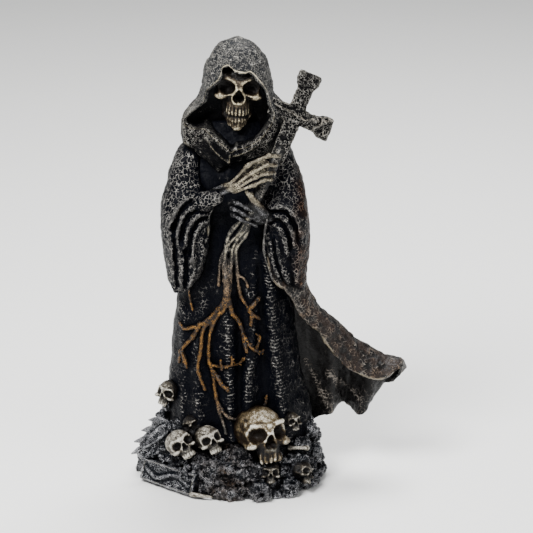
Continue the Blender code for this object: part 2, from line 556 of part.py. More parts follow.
def skulls_and_rubble():
    """What is heaped on the mound: skulls, rubble, a leaf, a plaque and a bone."""
    made = [skull(name, base_place(*place), radius, yaw, pitch, roll)
            for name, place, radius, yaw, pitch, roll in MOUND_SKULLS]
    top = BASE_HEIGHT / STEP
    for i in range(RUBBLE_LUMPS):
        angle = math.radians(i * 137.5)
        band = (i % 4) / 3
        reach = float(around(MOUND_OUTLINE, [math.degrees(angle)])[0]) * (0.97 - 0.24 * band)
        size = 10 + 3 * math.sin(1.7 * i) + 2 * band
        made.append(rock(f"rock_{i}", base_place(reach * math.sin(angle), -reach * math.cos(angle),
                                                 top * (0.25 + 0.95 * band)), size, 1.3 * i))
    made += [rock(f"pile_{i}", base_place(*place), size, 0.9 * i) for i, (*place, size) in enumerate(PILES)]
    made.append(sweep("bone", [base_place(56, -52, 42), base_place(66, -55, 45), base_place(77, -52, 44)],
                      [3.4, 2.4, 3.4], 8, 7))
    return made + leaf() + plaque()


# Where the thinning leaves more triangles: centre, reach and how much care is taken.
FINE_CARVING = [((9, -20, 400), 34, 0.6), ((24, -64, 322), 34, 0.35), ((26, -60, 52), 30, 0.5),
                ((-36, -60, 48), 28, 0.35), ((0, -50, 190), 60, 0.1)]
CARVING_CARE = 1e-4


def joined(forms):
    """One object that holds the forms side by side."""
    statue = bpy.data.objects.new("statue", bpy.data.meshes.new("statue"))
    bpy.context.scene.collection.objects.link(statue)
    points, faces = [], []
    for obj in forms:
        start = len(points)
        points += [vertex.co for vertex in obj.data.vertices]
        faces += [tuple(start + v for v in polygon.vertices) for polygon in obj.data.polygons]
    statue.data.from_pydata(points, [], faces)
    for obj in forms:
        bpy.data.objects.remove(obj)
    return statue


def fused(statue):
    """Fuses the forms by a voxel remesh and keeps the one outer skin."""
    remesh = statue.modifiers.new("fuse", "REMESH")
    remesh.mode = "VOXEL"
    remesh.voxel_size = FUSE_VOXEL
    skin = bpy.data.meshes.new_from_object(statue.evaluated_get(bpy.context.evaluated_depsgraph_get()))
    statue.modifiers.remove(remesh)
    points = np.empty(len(skin.vertices) * 3, np.float32)
    skin.vertices.foreach_get("co", points)
    ends = np.empty(len(skin.edges) * 2, np.int32)
    skin.edges.foreach_get("vertices", ends)
    ends = ends.reshape(-1, 2)
    body = np.arange(len(skin.vertices))
    while True:
        lower = body.copy()
        np.minimum.at(lower, ends[:, 0], body[ends[:, 1]])
        np.minimum.at(lower, ends[:, 1], body[ends[:, 0]])
        lower = lower[lower]
        if (lower == body).all():
            break
        body = lower
    main_body = np.bincount(body).argmax()
    keep = body == main_body
    number = np.cumsum(keep) - 1
    faces = [tuple(number[v] for v in polygon.vertices) for polygon in skin.polygons
             if keep[polygon.vertices[0]]]
    mesh = bpy.data.meshes.new("statue")
    mesh.from_pydata(points.reshape(-1, 3)[keep].tolist(), [], faces)
    statue.data = mesh
    return statue


def cast_in_one(forms):
    """Joins and fuses the forms, thins the mesh, least at the fine carving, and cuts the underside flat."""
    statue = fused(joined(forms))
    points = np.empty(len(statue.data.vertices) * 3, np.float32)
    statue.data.vertices.foreach_get("co", points)
    points = points.reshape(-1, 3) / STEP
    weight = np.full(len(points), 1.0)
    for centre, reach, care in FINE_CARVING:
        weight[np.linalg.norm(points - np.array(centre), axis=1) < reach] = 1 - care
    group = statue.vertex_groups.new(name="coarse_carving")
    for level in np.unique(weight):
        group.add(np.flatnonzero(weight == level).tolist(), float(level), "REPLACE")
    thin = statue.modifiers.new("thin", "DECIMATE")
    thin.use_collapse_triangulate = True
    thin.ratio = SOLID_TRIANGLES / (2 * len(points))
    thin.vertex_group = group.name
    thin.vertex_group_factor = CARVING_CARE
    level = statue.modifiers.new("level_underside", "BOOLEAN")
    level.operation = "DIFFERENCE"
    level.object = floor_cutter()
    resin = bpy.data.materials.new("painted_resin")
    resin.use_nodes = True
    shader = resin.node_tree.nodes["Principled BSDF"]
    shader.inputs["Base Color"].default_value = RESIN_COLOUR
    shader.inputs["Roughness"].default_value = 0.45
    shader.inputs["Metallic"].default_value = 0.35
    statue.data.materials.append(resin)
    return statue


def floor_cutter():
    """A block below the floor that leaves the underside flat."""
    side = 2 * STATUE_HEIGHT
    corners = [(x * side, y * side, z) for x in (-1, 1) for y in (-1, 1) for z in (-FLOOR_CUT_DEPTH, 0.0)]
    faces = [(0, 1, 3, 2), (4, 6, 7, 5), (0, 4, 5, 1), (2, 3, 7, 6), (0, 2, 6, 4), (1, 5, 7, 3)]
    mesh = bpy.data.meshes.new("floor_cutter")
    mesh.from_pydata(corners, [], faces)
    cutter = bpy.data.objects.new("floor_cutter", mesh)
    bpy.context.scene.collection.objects.link(cutter)
    cutter.hide_render = True
    cutter.display_type = "WIRE"
    return face_outwards(cutter)


def main():
    clear_scene()
    gown = gown_and_cape()
    forms = [gown, *sleeves(), wind_blown_cape(), hood(),
             skull("face", (9, -9, 414), 24.5, yaw=2, pitch=4, roll=3, jaw=True),
             *cross_and_staff(), *hands(), *roots(gown), mound(), *skulls_and_rubble()]
    cast_in_one(forms)


main()
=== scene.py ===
import math

import bpy
import numpy as np
from mathutils import Matrix, Vector
from mathutils.bvhtree import BVHTree


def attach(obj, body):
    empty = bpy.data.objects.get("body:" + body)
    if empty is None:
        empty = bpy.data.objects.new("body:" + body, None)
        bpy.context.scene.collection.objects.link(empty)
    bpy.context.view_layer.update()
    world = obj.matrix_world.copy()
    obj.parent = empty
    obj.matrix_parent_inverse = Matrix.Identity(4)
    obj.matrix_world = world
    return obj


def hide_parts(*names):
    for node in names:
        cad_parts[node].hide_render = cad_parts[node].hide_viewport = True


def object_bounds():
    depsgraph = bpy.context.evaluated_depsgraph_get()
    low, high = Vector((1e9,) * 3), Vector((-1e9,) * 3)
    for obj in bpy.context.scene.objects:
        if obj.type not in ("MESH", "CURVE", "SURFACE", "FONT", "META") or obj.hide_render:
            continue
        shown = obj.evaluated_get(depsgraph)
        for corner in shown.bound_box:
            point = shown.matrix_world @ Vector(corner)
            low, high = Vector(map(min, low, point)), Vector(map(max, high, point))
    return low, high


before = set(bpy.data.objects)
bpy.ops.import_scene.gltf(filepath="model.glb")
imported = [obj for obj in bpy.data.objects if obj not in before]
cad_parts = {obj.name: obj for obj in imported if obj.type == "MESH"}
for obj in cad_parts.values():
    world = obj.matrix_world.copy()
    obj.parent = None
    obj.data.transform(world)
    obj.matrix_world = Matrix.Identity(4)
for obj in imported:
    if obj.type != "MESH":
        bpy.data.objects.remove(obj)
cad_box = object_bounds()

# The gown: a long robe that widens from the shoulders to the mound, part of the one resin casting.
# Its folds were modelled in clay before the mould was made: rounded crests with knotted ladder texture
# in front, plain long waves behind. Cast black resin under blue-black paint, silver rubbed on the crests.
STATUE_HEIGHT = 0.228
STEP = STATUE_HEIGHT / 456
GOWN_RINGS = 262
GOWN_SIDES = 204


def through(rows, count):
    """A smooth curve through rows of numbers, read at count places."""
    rows = np.array(rows, float)
    place = np.linspace(0, len(rows) - 1, count)
    cell = np.minimum(place.astype(int), len(rows) - 2)
    part = (place - cell).reshape((-1,) + (1,) * (rows.ndim - 1))
    padded = np.concatenate([2 * rows[:1] - rows[1:2], rows, 2 * rows[-1:] - rows[-2:-1]])
    before, first, second, after = (padded[cell + k] for k in range(4))
    return first + 0.5 * part * (
        second - before
        + part * (2 * before - 5 * first + 4 * second - after
                  + part * (3 * (first - second) + after - before)))


def cloth_rings(rows, count, sides, squareness):
    """Level rings from rows of (height, left, right, front, back), in steps, closer together in front.

    A squareness of 1 gives ellipses, and less gives fuller corners.
    """
    rows = through(rows, count)
    turn = np.linspace(0, 2 * math.pi, sides, endpoint=False)
    turn = turn - 0.35 * np.sin(turn)
    side = np.sign(np.sin(turn)) * np.abs(np.sin(turn)) ** squareness
    depth = np.sign(-np.cos(turn)) * np.abs(np.cos(turn)) ** squareness
    height, left, right, front, back = rows.T
    x = ((left + right) / 2)[:, None] + side * ((right - left) / 2)[:, None]
    y = ((front + back) / 2)[:, None] + depth * ((back - front) / 2)[:, None]
    return np.stack([x, y, np.repeat(height[:, None], sides, axis=1)], axis=2)


def stroke_distance(x, z, path):
    """For each place of the front view, how far it is from a modelled stroke."""
    path = through(path, 5 * len(path))
    best = np.full(x.shape, np.inf)
    for (x0, z0), (x1, z1) in zip(path[:-1], path[1:]):
        length = max(math.hypot(x1 - x0, z1 - z0), 1e-6)
        share = np.clip(((x - x0) * (x1 - x0) + (z - z0) * (z1 - z0)) / length ** 2, 0, 1)
        best = np.minimum(best, np.hypot(x - x0 - share * (x1 - x0), z - z0 - share * (z1 - z0)))
    return best


def ramp(values, start, width):
    """Rises from 0 at start to 1 a width further on. A width below 0 makes it fall."""
    return np.clip((values - start) / width, 0, 1)


def hill(values, middle, width, power=2):
    """1 at the middle and nearly nothing two widths away; a higher power makes its sides steeper."""
    return np.exp(-((values - middle) / width) ** power)


grain_tables = {}


def grain(points, size, seed):
    """Soft random relief from -1 to 1 whose lumps are size steps wide."""
    if seed not in grain_tables:
        grain_tables[seed] = np.random.RandomState(seed).uniform(-1, 1, (32, 32, 32))
    table = grain_tables[seed]
    place = points / size
    cell = np.floor(place).astype(int)
    part = place - cell
    part = part * part * (3 - 2 * part)
    total = np.zeros(points.shape[:-1])
    for corner in range(8):
        offset = np.array([corner & 1, corner >> 1 & 1, corner >> 2 & 1])
        share = np.prod(np.where(offset == 1, part, 1 - part), axis=-1)
        index = (cell + offset) % 32
        total += share * table[index[..., 0], index[..., 1], index[..., 2]]
    return total


def model_folds(rings, strokes, middle_y=-8.0):
    """Pushes folds out of (or into) the side that faces the viewer.

    Each stroke is (path, width, height, how much silver its crest catches). Returns the silver caught.
    """
    in_front = ramp(rings[..., 1], middle_y, -14)
    raised = np.zeros(rings.shape[:2])
    silver = np.zeros(rings.shape[:2])
    for path, width, height, caught in strokes:
        distance = stroke_distance(rings[..., 0], rings[..., 2], path)
        raised += height * hill(distance, 0, width)
        silver = np.maximum(silver, caught * hill(distance, 0, 0.85 * width, 4))
    rings[..., 1] -= raised * in_front
    return silver * in_front


def skin(rings):
    """Points and faces of a closed body through rings of points, with a fan of faces over each end."""
    rings = np.asarray(rings, float)
    count, sides = rings.shape[:2]
    points = np.concatenate([rings.reshape(-1, 3), rings[:1].mean(axis=1), rings[-1:].mean(axis=1)])
    i, j = np.meshgrid(np.arange(count - 1), np.arange(sides), indexing="ij")
    k = (j + 1) % sides
    quads = np.stack([i * sides + j, i * sides + k, (i + 1) * sides + k, (i + 1) * sides + j], axis=-1)
    quads = quads.reshape(-1, 4)
    j = np.arange(sides)
    k = (j + 1) % sides
    low, high = count * sides, count * sides + 1
    last = (count - 1) * sides
    low_fan = np.stack([0 * j + low, k, j], axis=1)
    high_fan = np.stack([0 * j + high, last + j, last + k], axis=1)
    fans = np.concatenate([low_fan, high_fan])
    corners = points[quads[:, 0]], points[quads[:, 1]], points[quads[:, 2]], points[quads[:, 3]]
    volume = np.einsum("ij,ij->i", corners[0], np.cross(corners[1], corners[2])).sum()
    volume += np.einsum("ij,ij->i", corners[0], np.cross(corners[2], corners[3])).sum()
    if volume < 0:
        quads, fans = quads[:, ::-1], fans[:, ::-1]
    return points, quads.tolist() + fans.tolist()


def casting(name, *skins):
    """A mesh object from one or more closed skins, in steps."""
    points, faces, start = [], [], 0
    for skin_points, skin_faces in skins:
        points.append(np.asarray(skin_points) * STEP)
        faces += [[start + v for v in face] for face in skin_faces]
        start += len(skin_points)
    mesh = bpy.data.meshes.new(name)
    mesh.from_pydata(np.concatenate(points).tolist(), [], faces)
    mesh.update()
    obj = bpy.data.objects.new(name, mesh)
    bpy.context.scene.collection.objects.link(obj)
    return obj


def steps_of(obj):
    """The mesh's points, in steps."""
    points = np.empty(len(obj.data.vertices) * 3, np.float32)
    obj.data.vertices.foreach_get("co", points)
    return points.reshape(-1, 3).astype(float) / STEP


def move_points(obj, points):
    """Puts the mesh's points at new places, in steps."""
    obj.data.vertices.foreach_set("co", (points * STEP).astype(np.float32).ravel())
    obj.data.update()


def normals_of(obj):
    """The way each point of a piece faces."""
    normals = np.empty(len(obj.data.vertices) * 3, np.float32)
    obj.data.vertex_normals.foreach_get("vector", normals)
    return normals.reshape(-1, 3)


def facing(obj):
    """How squarely each point of a piece faces the front, from -1 to 1."""
    return -normals_of(obj)[:, 1]


def mark(obj, name, values):
    """Writes one number per point, which the paint reads. Rings of numbers get one more for each end."""
    count = len(obj.data.vertices)
    values = np.broadcast_to(values, count) if np.ndim(values) == 0 else np.ravel(values)
    values = np.append(values, np.zeros(count - len(values)))
    layer = obj.data.attributes.get(name) or obj.data.attributes.new(name, "FLOAT", "POINT")
    layer.data.foreach_set("value", values.astype(np.float32))


def tool_surface(obj, *layers, crags=False):
    """Presses fine relief into a mesh along its normals: each layer is (size, height, seed), in steps."""
    points = steps_of(obj)
    push = np.zeros(len(points))
    for size, height, seed in layers:
        lumps = grain(points, size, seed)
        push += height * (0.6 - 2.2 * np.abs(lumps) if crags else lumps)
    move_points(obj, points + push[:, None] * normals_of(obj))


def linear(colour):
    """An sRGB hex colour as Blender's linear one."""
    channels = [int(colour[k:k + 2], 16) / 255 for k in (1, 3, 5)]
    return tuple(c / 12.92 if c <= 0.04045 else ((c + 0.055) / 1.055) ** 2.4 for c in channels) + (1.0,)


def add(tree, kind, inputs=(), **settings):
    """Adds a node with its settings; an input is a value or the socket that feeds it."""
    made = tree.nodes.new(kind)
    for name, value in settings.items():
        setattr(made, name, value)
    for socket, value in dict(inputs).items():
        if isinstance(value, bpy.types.NodeSocket):
            tree.links.new(value, made.inputs[socket])
        else:
            made.inputs[socket].default_value = value
    return made


def dry_brushed(name, hollow, ground, brush, edge, lace_mm, load, relief=1.0, rough=0.4, silver=0.4,
                gloss=0.04, warm=None):
    """Paint on cast resin: a near-black ground, silver rubbed on what stands proud, edges rubbed bare, and
    hollows darkened by washes and painted shade.

    hollow, ground, brush and edge are colours, hollow being the dark that washes and painted shade give the
    hollows. lace_mm is the mesh of the worm-like lines cast into the
    surface: the real ones are 0.5 to 2 mm apart and under 0.3 mm wide, the finest too fine to show, so they
    are drawn 1 mm apart or more. load is how full the brush was, silver how metallic its paint is, gloss
    how much the ground shines, and warm a second ground and brush colour for the tint layer, which is rust
    and glaze on some pieces and painted light, sheen and shade on others.
    """
    paint = bpy.data.materials.new(name)
    paint.use_nodes = True
    tree = paint.node_tree
    shader = tree.nodes["Principled BSDF"]
    place = add(tree, "ShaderNodeTexCoord").outputs["Object"]
    reads = {}
    for layer in ("wash_and_shade", "proud", "brush", "edge", "tint_and_painted_light", "ladder"):
        reads[layer] = add(tree, "ShaderNodeAttribute", attribute_name=layer).outputs["Fac"]
    wander = add(tree, "ShaderNodeTexNoise", {"Vector": place, "Scale": 1 / 0.0021, "Detail": 2.0})
    shift = add(tree, "ShaderNodeVectorMath",
                {0: wander.outputs["Color"], 1: (0.5, 0.5, 0.5)}, operation="SUBTRACT")
    bend = add(tree, "ShaderNodeVectorMath", {0: shift.outputs[0], "Scale": 0.0018}, operation="SCALE")
    bent = add(tree, "ShaderNodeVectorMath", {0: place, 1: bend.outputs[0]}, operation="ADD").outputs[0]
    cells = add(tree, "ShaderNodeTexVoronoi",
                {"Vector": bent, "Scale": 1000 / lace_mm}, feature="DISTANCE_TO_EDGE")
    worms = add(tree, "ShaderNodeMapRange",
                {"Value": cells.outputs["Distance"], "From Min": 0.02, "From Max": 0.095, "To Min": 1.0,
                 "To Max": 0.0}, interpolation_type="SMOOTHSTEP").outputs[0]
    patches = add(tree, "ShaderNodeTexNoise", {"Vector": place, "Scale": 1 / 0.0032, "Detail": 2.0})
    kept = add(tree, "ShaderNodeMapRange",
               {"Value": patches.outputs["Fac"], "From Min": 0.36, "From Max": 0.62,
                "To Min": 0.42}).outputs[0]
    fine = add(tree, "ShaderNodeTexNoise",
               {"Vector": place, "Scale": 1 / 0.0006, "Detail": 3.0, "Roughness": 0.6})
    broad = add(tree, "ShaderNodeTexNoise", {"Vector": place, "Scale": 1 / 0.009, "Detail": 3.0})
    broken = add(tree, "ShaderNodeMapRange",
                 {"Value": wander.outputs["Fac"], "From Min": 0.40, "From Max": 0.47}).outputs[0]
    # Rungs of the knotted ladder on the gown's fold crests, 1.7 mm apart.
    rungs = add(tree, "ShaderNodeTexWave",
                {"Vector": bent, "Scale": 2 * math.pi / 20 / 0.0017, "Distortion": 4.2, "Detail": 2.0,
                 "Detail Scale": 1.5}, wave_type="BANDS", bands_direction="Z")
    rung = add(tree, "ShaderNodeMapRange",
               {"Value": rungs.outputs["Fac"], "From Min": 0.5, "From Max": 0.9}).outputs[0]
    shape = add(tree, "ShaderNodeMix",
                {0: reads["ladder"], 2: worms, 3: rung}, data_type="FLOAT").outputs[0]
    shape = add(tree, "ShaderNodeMath", {0: shape, 1: broken}, operation="MULTIPLY").outputs[0]
    height = add(tree, "ShaderNodeMath",
                 {0: fine.outputs["Fac"], 1: 0.9, 2: shape}, operation="MULTIPLY_ADD").outputs[0]
    # The brush's load at each place: what stands proud takes paint, hollows take none.
    sums = [(reads["brush"], 1.0), (reads["proud"], 0.9), (reads["wash_and_shade"], -1.1), (height, 1.0),
            (broad.outputs["Fac"], 0.3)]
    total = load - 1.6
    for socket, weight in sums:
        total = add(tree, "ShaderNodeMath",
                    {0: socket, 1: weight, 2: total}, operation="MULTIPLY_ADD").outputs[0]
    rubbed = add(tree, "ShaderNodeMapRange", {"Value": total, "From Min": 0.0, "From Max": 0.7},
                 interpolation_type="SMOOTHSTEP").outputs[0]
    # Raised lines hold the full load, the ground between them a third of it, and the load comes and goes.
    held = add(tree, "ShaderNodeMapRange", {"Value": shape, "To Min": 0.3}).outputs[0]
    held = add(tree, "ShaderNodeMath", {0: held, 1: kept}, operation="MULTIPLY").outputs[0]
    rubbed = add(tree, "ShaderNodeMath", {0: rubbed, 1: held}, operation="MULTIPLY").outputs[0]
    # Hollows darken to the hollow colour: washes, and painted shade where the statue is boxed in.
    deep = add(tree, "ShaderNodeMix",
               {0: reads["wash_and_shade"], 6: linear(ground), 7: linear(hollow)}, data_type="RGBA")
    under, over = deep.outputs[2], linear(brush)
    if warm:
        under = add(tree, "ShaderNodeMix", {0: reads["tint_and_painted_light"], 6: under, 7: linear(warm[0])},
                    data_type="RGBA").outputs[2]
        over = add(tree, "ShaderNodeMix", {0: reads["tint_and_painted_light"], 6: over, 7: linear(warm[1])},
                   data_type="RGBA").outputs[2]
    coat = add(tree, "ShaderNodeMix", {0: rubbed, 6: under, 7: over}, data_type="RGBA")
    bare_load = add(tree, "ShaderNodeMath",
                    {0: fine.outputs["Fac"], 1: 1.4, 2: 0.0}, operation="MULTIPLY_ADD").outputs[0]
    bare_load = add(tree, "ShaderNodeMath",
                    {0: reads["edge"], 1: bare_load}, operation="MULTIPLY").outputs[0]
    bare = add(tree, "ShaderNodeMapRange",
               {"Value": bare_load, "From Min": 0.2, "From Max": 0.7}).outputs[0]
    top = add(tree, "ShaderNodeMix", {0: bare, 6: coat.outputs[2], 7: linear(edge)}, data_type="RGBA")
    tree.links.new(top.outputs[2], shader.inputs["Base Color"])
    dull = add(tree, "ShaderNodeMath", {0: rubbed, 1: 0.1, 2: rough}, operation="MULTIPLY_ADD").outputs[0]
    tree.links.new(dull, shader.inputs["Roughness"])
    shine = add(tree, "ShaderNodeMath", {0: rubbed, 1: silver}, operation="MULTIPLY").outputs[0]
    tree.links.new(shine, shader.inputs["Metallic"])
    shader.inputs["Specular IOR Level"].default_value = gloss
    bump = add(tree, "ShaderNodeBump", {"Height": height, "Strength": 0.8 * relief, "Distance": 0.0003})
    tree.links.new(bump.outputs[0], shader.inputs["Normal"])
    return paint


pieces = []


def finish(obj, paint):
    """Paints a piece and fixes it to the casting, which it stands for."""
    obj.data.materials.clear()
    obj.data.materials.append(paint)
    obj.data.shade_smooth()
    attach(obj, "root")
    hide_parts("statue")
    pieces.append(obj)


gown_rings = cloth_rings([
    (4, -60, 78, -48, 50), (60, -62, 82, -49, 50), (100, -62, 74, -45, 47), (150, -57, 66, -41, 44),
    (200, -54, 63, -38, 42), (250, -54, 66, -36, 40), (290, -56, 68, -35, 38), (318, -54, 64, -33, 36),
    (340, -45, 54, -28, 32), (356, -32, 42, -22, 27), (372, -20, 32, -16, 20)],
    GOWN_RINGS, GOWN_SIDES, 0.86)
gown_silver = model_folds(gown_rings, [
    ([(-47, 180), (-48, 130), (-50, 60)], 5, 4, 0.8), ([(-33, 150), (-33, 110), (-31, 55)], 5, 5, 0.7),
    ([(-4, 220), (-2, 160), (0, 110), (3, 55)], 6, 5, 0.9), ([(20, 150), (19, 120), (17, 55)], 6, 6, 0.9),
    ([(38, 240), (43, 170), (50, 110), (58, 55)], 8, 8, 0.9),
    ([(30, 230), (33, 150), (36, 60)], 7, -5, 0), ([(10, 200), (9, 120), (9, 60)], 5, -4, 0),
    ([(-18, 200), (-17, 120), (-16, 60)], 7, -4, 0), ([(26, 250), (24, 190), (26, 130)], 4, 2.5, 0.5),
    ([(-14, 330), (-6, 318), (2, 330)], 4, 2, 0.1), ([(-26, 320), (-12, 300), (4, 296)], 3.5, 2, 0.1)])
behind = ramp(gown_rings[..., 1], 8, 20)
long_waves = np.cos(gown_rings[..., 0] * 0.26 - gown_rings[..., 2] * 0.012)
wave_depth = behind * np.clip((330 - gown_rings[..., 2]) / 200, 0.15, 1)
gown_rings[..., 1] += wave_depth * (4.0 * long_waves + 1.2 * np.cos(gown_rings[..., 0] * 0.61 + 1.0))
gown = casting("gown", skin(gown_rings))
tool_surface(gown, (18, 1.5, 37), (7, 0.8, 1), (3, 0.4, 2))
gown_brush = np.append(gown_silver + 0.45 * wave_depth * np.clip(long_waves, 0, 1), [0, 0])
gown_points = steps_of(gown)
mark(gown, "brush", 0.23 * gown_brush - 0.1 - 0.3 * ramp(gown_points[:, 2], 225, 30))
# Painted sheen: the chest and the lowest part of the gown take a lighter blue-black ground.
mark(gown, "tint_and_painted_light", ramp(gown_points[:, 2], 270, 20) + ramp(gown_points[:, 2], 90, -30))
mark(gown, "ladder", 0.6 * gown_brush)
# Acrylic paint on cast resin, dull black that swallows light, so that the silver looks like worn thread.
ROBE_COLOURS = ("#000001", "#030409", "#8d8a85", "#b5ab95")
ROBE_LACE_MM = 1.9
robe_paint = dry_brushed("robe_paint_on_resin", *ROBE_COLOURS, ROBE_LACE_MM, 0.0,
                         warm=("#07080d", "#8d8a85"))
finish(gown, robe_paint)

# The sleeves: two wide bell sleeves that hang from the shoulders past the forearms, cast with the gown.
# The folds curve from the elbow down to the cuff. Same blue-black paint, rubbed more heavily with silver,
# and rusty along the right sleeve's outer edge.
SLEEVE_RINGS = 136
SLEEVE_SIDES = 150
left_rings = cloth_rings([
    (353, -42, -26, -18, 8), (340, -53, -25, -28, 12), (325, -59, -25, -34, 14), (312, -62, -23, -40, 12),
    (300, -66, -18, -49, 8), (287, -68.5, -16, -55, 4), (271, -68.5, -18, -56, 2),
    (251, -66.5, -20, -55, 0), (237, -64, -23, -53, -2), (223, -62, -28, -50, -4),
    (212, -60, -36, -46, -8), (205, -57, -42, -42, -14)],
    SLEEVE_RINGS, SLEEVE_SIDES, 0.8)
left_silver = model_folds(left_rings, [
    ([(-20, 305), (-37, 306), (-50, 297), (-58, 280)], 2.6, 4.5, 0.8),
    ([(-20, 297), (-35, 297), (-46, 287), (-52, 268)], 2.4, 4.5, 0.8),
    ([(-21, 289), (-31, 289), (-40, 277), (-44, 256)], 2.4, 4, 0.8),
    ([(-22, 281), (-28, 279), (-34, 264), (-36, 244)], 2.4, 3.5, 0.7),
    ([(-60, 286), (-58, 257), (-55, 222)], 3.2, 3, 0.7),
    ([(-50, 262), (-48, 240), (-48, 214)], 2.8, 3, 0.6),
    ([(-36, 244), (-34, 232), (-40, 214)], 2.8, 3.5, 0.7),
    ([(-27, 262), (-26, 248), (-31, 228)], 2.4, 3, 0.6),
    ([(-54, 280), (-53, 245), (-51, 214)], 2.0, -3, 0),
    ([(-43, 262), (-42, 240), (-44, 212)], 2.0, -3, 0),
    ([(-21, 301), (-36, 302), (-48, 292), (-55, 274)], 1.6, -2.5, 0),
    ([(-21, 293), (-33, 293), (-43, 282), (-48, 262)], 1.6, -2.5, 0),
    ([(-22, 285), (-30, 284), (-37, 270), (-40, 250)], 1.6, -2.5, 0),
    ([(-50, 345), (-52, 325), (-47, 306)], 7, 1.0, 0.8)])
right_rings = cloth_rings([
    (358, 36, 52, -14, 8), (344, 36, 61, -26, 12), (328, 38, 67, -34, 14), (313, 33, 72, -42, 10),
    (299, 31, 76, -50, 6), (286, 34, 78, -55, 4), (271, 34, 79.5, -55, 2), (255, 33, 79, -53, 0),
    (240, 33, 78, -50, -2), (226, 38, 77, -46, -4), (214, 48, 77, -38, -6), (204, 60, 75, -30, -10)],
    SLEEVE_RINGS, SLEEVE_SIDES, 0.8)
right_silver = model_folds(right_rings, [
    ([(39, 296), (56, 297), (67, 284), (71, 268)], 2.6, 4.5, 0.7),
    ([(40, 288), (52, 288), (61, 275), (64, 258)], 2.4, 4, 0.7),
    ([(38, 279), (46, 279), (54, 266), (57, 248)], 2.4, 4, 0.6),
    ([(38, 268), (41, 252), (44, 232), (52, 214)], 2.8, 3.5, 0.7),
    ([(46, 264), (50, 242), (58, 216)], 2.4, 3, 0.5), ([(68, 256), (68, 236), (66, 214)], 3.2, 2.5, 0.3),
    ([(42, 292), (55, 292), (64, 279), (67, 262)], 1.6, -2.5, 0),
    ([(41, 283), (50, 283), (58, 271), (60, 254)], 1.6, -2.5, 0),
    ([(43, 264), (46, 245), (54, 216)], 1.4, -2.2, 0), ([(58, 248), (60, 232), (62, 214)], 2.2, -2.5, 0)])
# The same acrylic paint with rust brown stippled on, which gives the edge a warm, burnt look.
rusty_paint = dry_brushed("rusty_robe_paint_on_resin", *ROBE_COLOURS, ROBE_LACE_MM, 0.0,
                          warm=("#120a07", "#70523e"))
# The right sleeve takes less silver than the left: painted shade on the side away from the key light.
for name, rings, silver, share, paint in (
        ("left_sleeve", left_rings, left_silver, 0.25, robe_paint),
        ("right_sleeve", right_rings, right_silver, 0.08, rusty_paint)):
    sleeve = casting(name, skin(rings))
    tool_surface(sleeve, (14, 1.2, 36), (7, 0.7, 3), (3, 0.4, 4))
    sleeve_points = steps_of(sleeve)
    mark(sleeve, "brush", share + 0.4 * np.append(silver, [0, 0]))
    rust = np.clip(grain(sleeve_points, 9, 51) + 0.55, 0, 1)
    mark(sleeve, "tint_and_painted_light", ramp(sleeve_points[:, 0], 60, 12) * rust)
    finish(sleeve, paint)

# The cuffs: the rolled mouth of the left sleeve round the forearm, and the thin turned edges of both
# sleeves. Cast with the sleeves and painted the same, the turned edges rubbed bare here and there.


def limb(path, radii, sides, rings, flatten=1.0):
    """A round-ended skin along a smooth path, with its own radius at each point of the path."""
    line = through(path, rings)
    size = np.maximum(through(np.array(radii, float)[:, None], rings)[:, 0], 0.3)
    along = np.gradient(line, axis=0)
    along /= np.linalg.norm(along, axis=1)[:, None]
    turn = np.linspace(0, 2 * math.pi, sides, endpoint=False)
    made = []
    for point, direction, radius in zip(line, along, size):
        across = np.cross(direction, (0.0, -1.0, 0.0))
        across /= max(np.linalg.norm(across), 1e-6)
        out = np.cross(across, direction)
        circle = np.cos(turn)[:, None] * across + flatten * np.sin(turn)[:, None] * out
        made.append(point + radius * circle)
    made = np.array(made)
    ends = []
    for end, away in ((0, -1), (-1, 1)):
        ring, direction, radius = made[end], along[end], size[end]
        middle = ring.mean(axis=0)
        cap = [middle + away * direction * radius * math.sin(swing) + (ring - middle) * math.cos(swing)
               for swing in (0.5, 1.0, 1.35)]
        ends.append(cap if away > 0 else cap[::-1])
    return skin(np.concatenate([ends[0], made, ends[1]]))


cuff_roll = limb([(-38, -30, 288), (-28, -42, 298), (-20, -49, 304), (-12, -55, 308)],
                 [14, 11.5, 9.0, 7.0], 48, 60)
left_edge = limb([(-17, -50, 303), (-16, -49, 296), (-20, -47, 286), (-21.5, -42, 261), (-25, -38, 243),
                  (-30, -34, 228), (-35, -33, 215), (-42, -34, 206)],
                 [1.1, 1.2, 1.0, 1.0, 1.1, 0.9, 1.0, 0.8], 10, 110)
right_edge = limb([(22, -59, 314), (32, -60, 300), (37, -60, 293), (36, -58, 282), (34, -54, 262),
                   (35, -47, 246), (43, -44, 219)],
                  [0.9, 1.1, 1.2, 1.0, 1.0, 1.1, 0.9], 10, 110)
cuffs = casting("cuffs", cuff_roll, left_edge, right_edge)
tool_surface(cuffs, (5, 0.4, 34), (2.5, 0.25, 35))
turned = np.arange(len(cuffs.data.vertices)) >= len(cuff_roll[0])
worn = np.clip(grain(steps_of(cuffs), 9, 44) + 0.7, 0.3, 1)
mark(cuffs, "brush", 0.45 + 0.05 * turned)
mark(cuffs, "edge", 0.45 * worn * turned)
finish(cuffs, robe_paint)

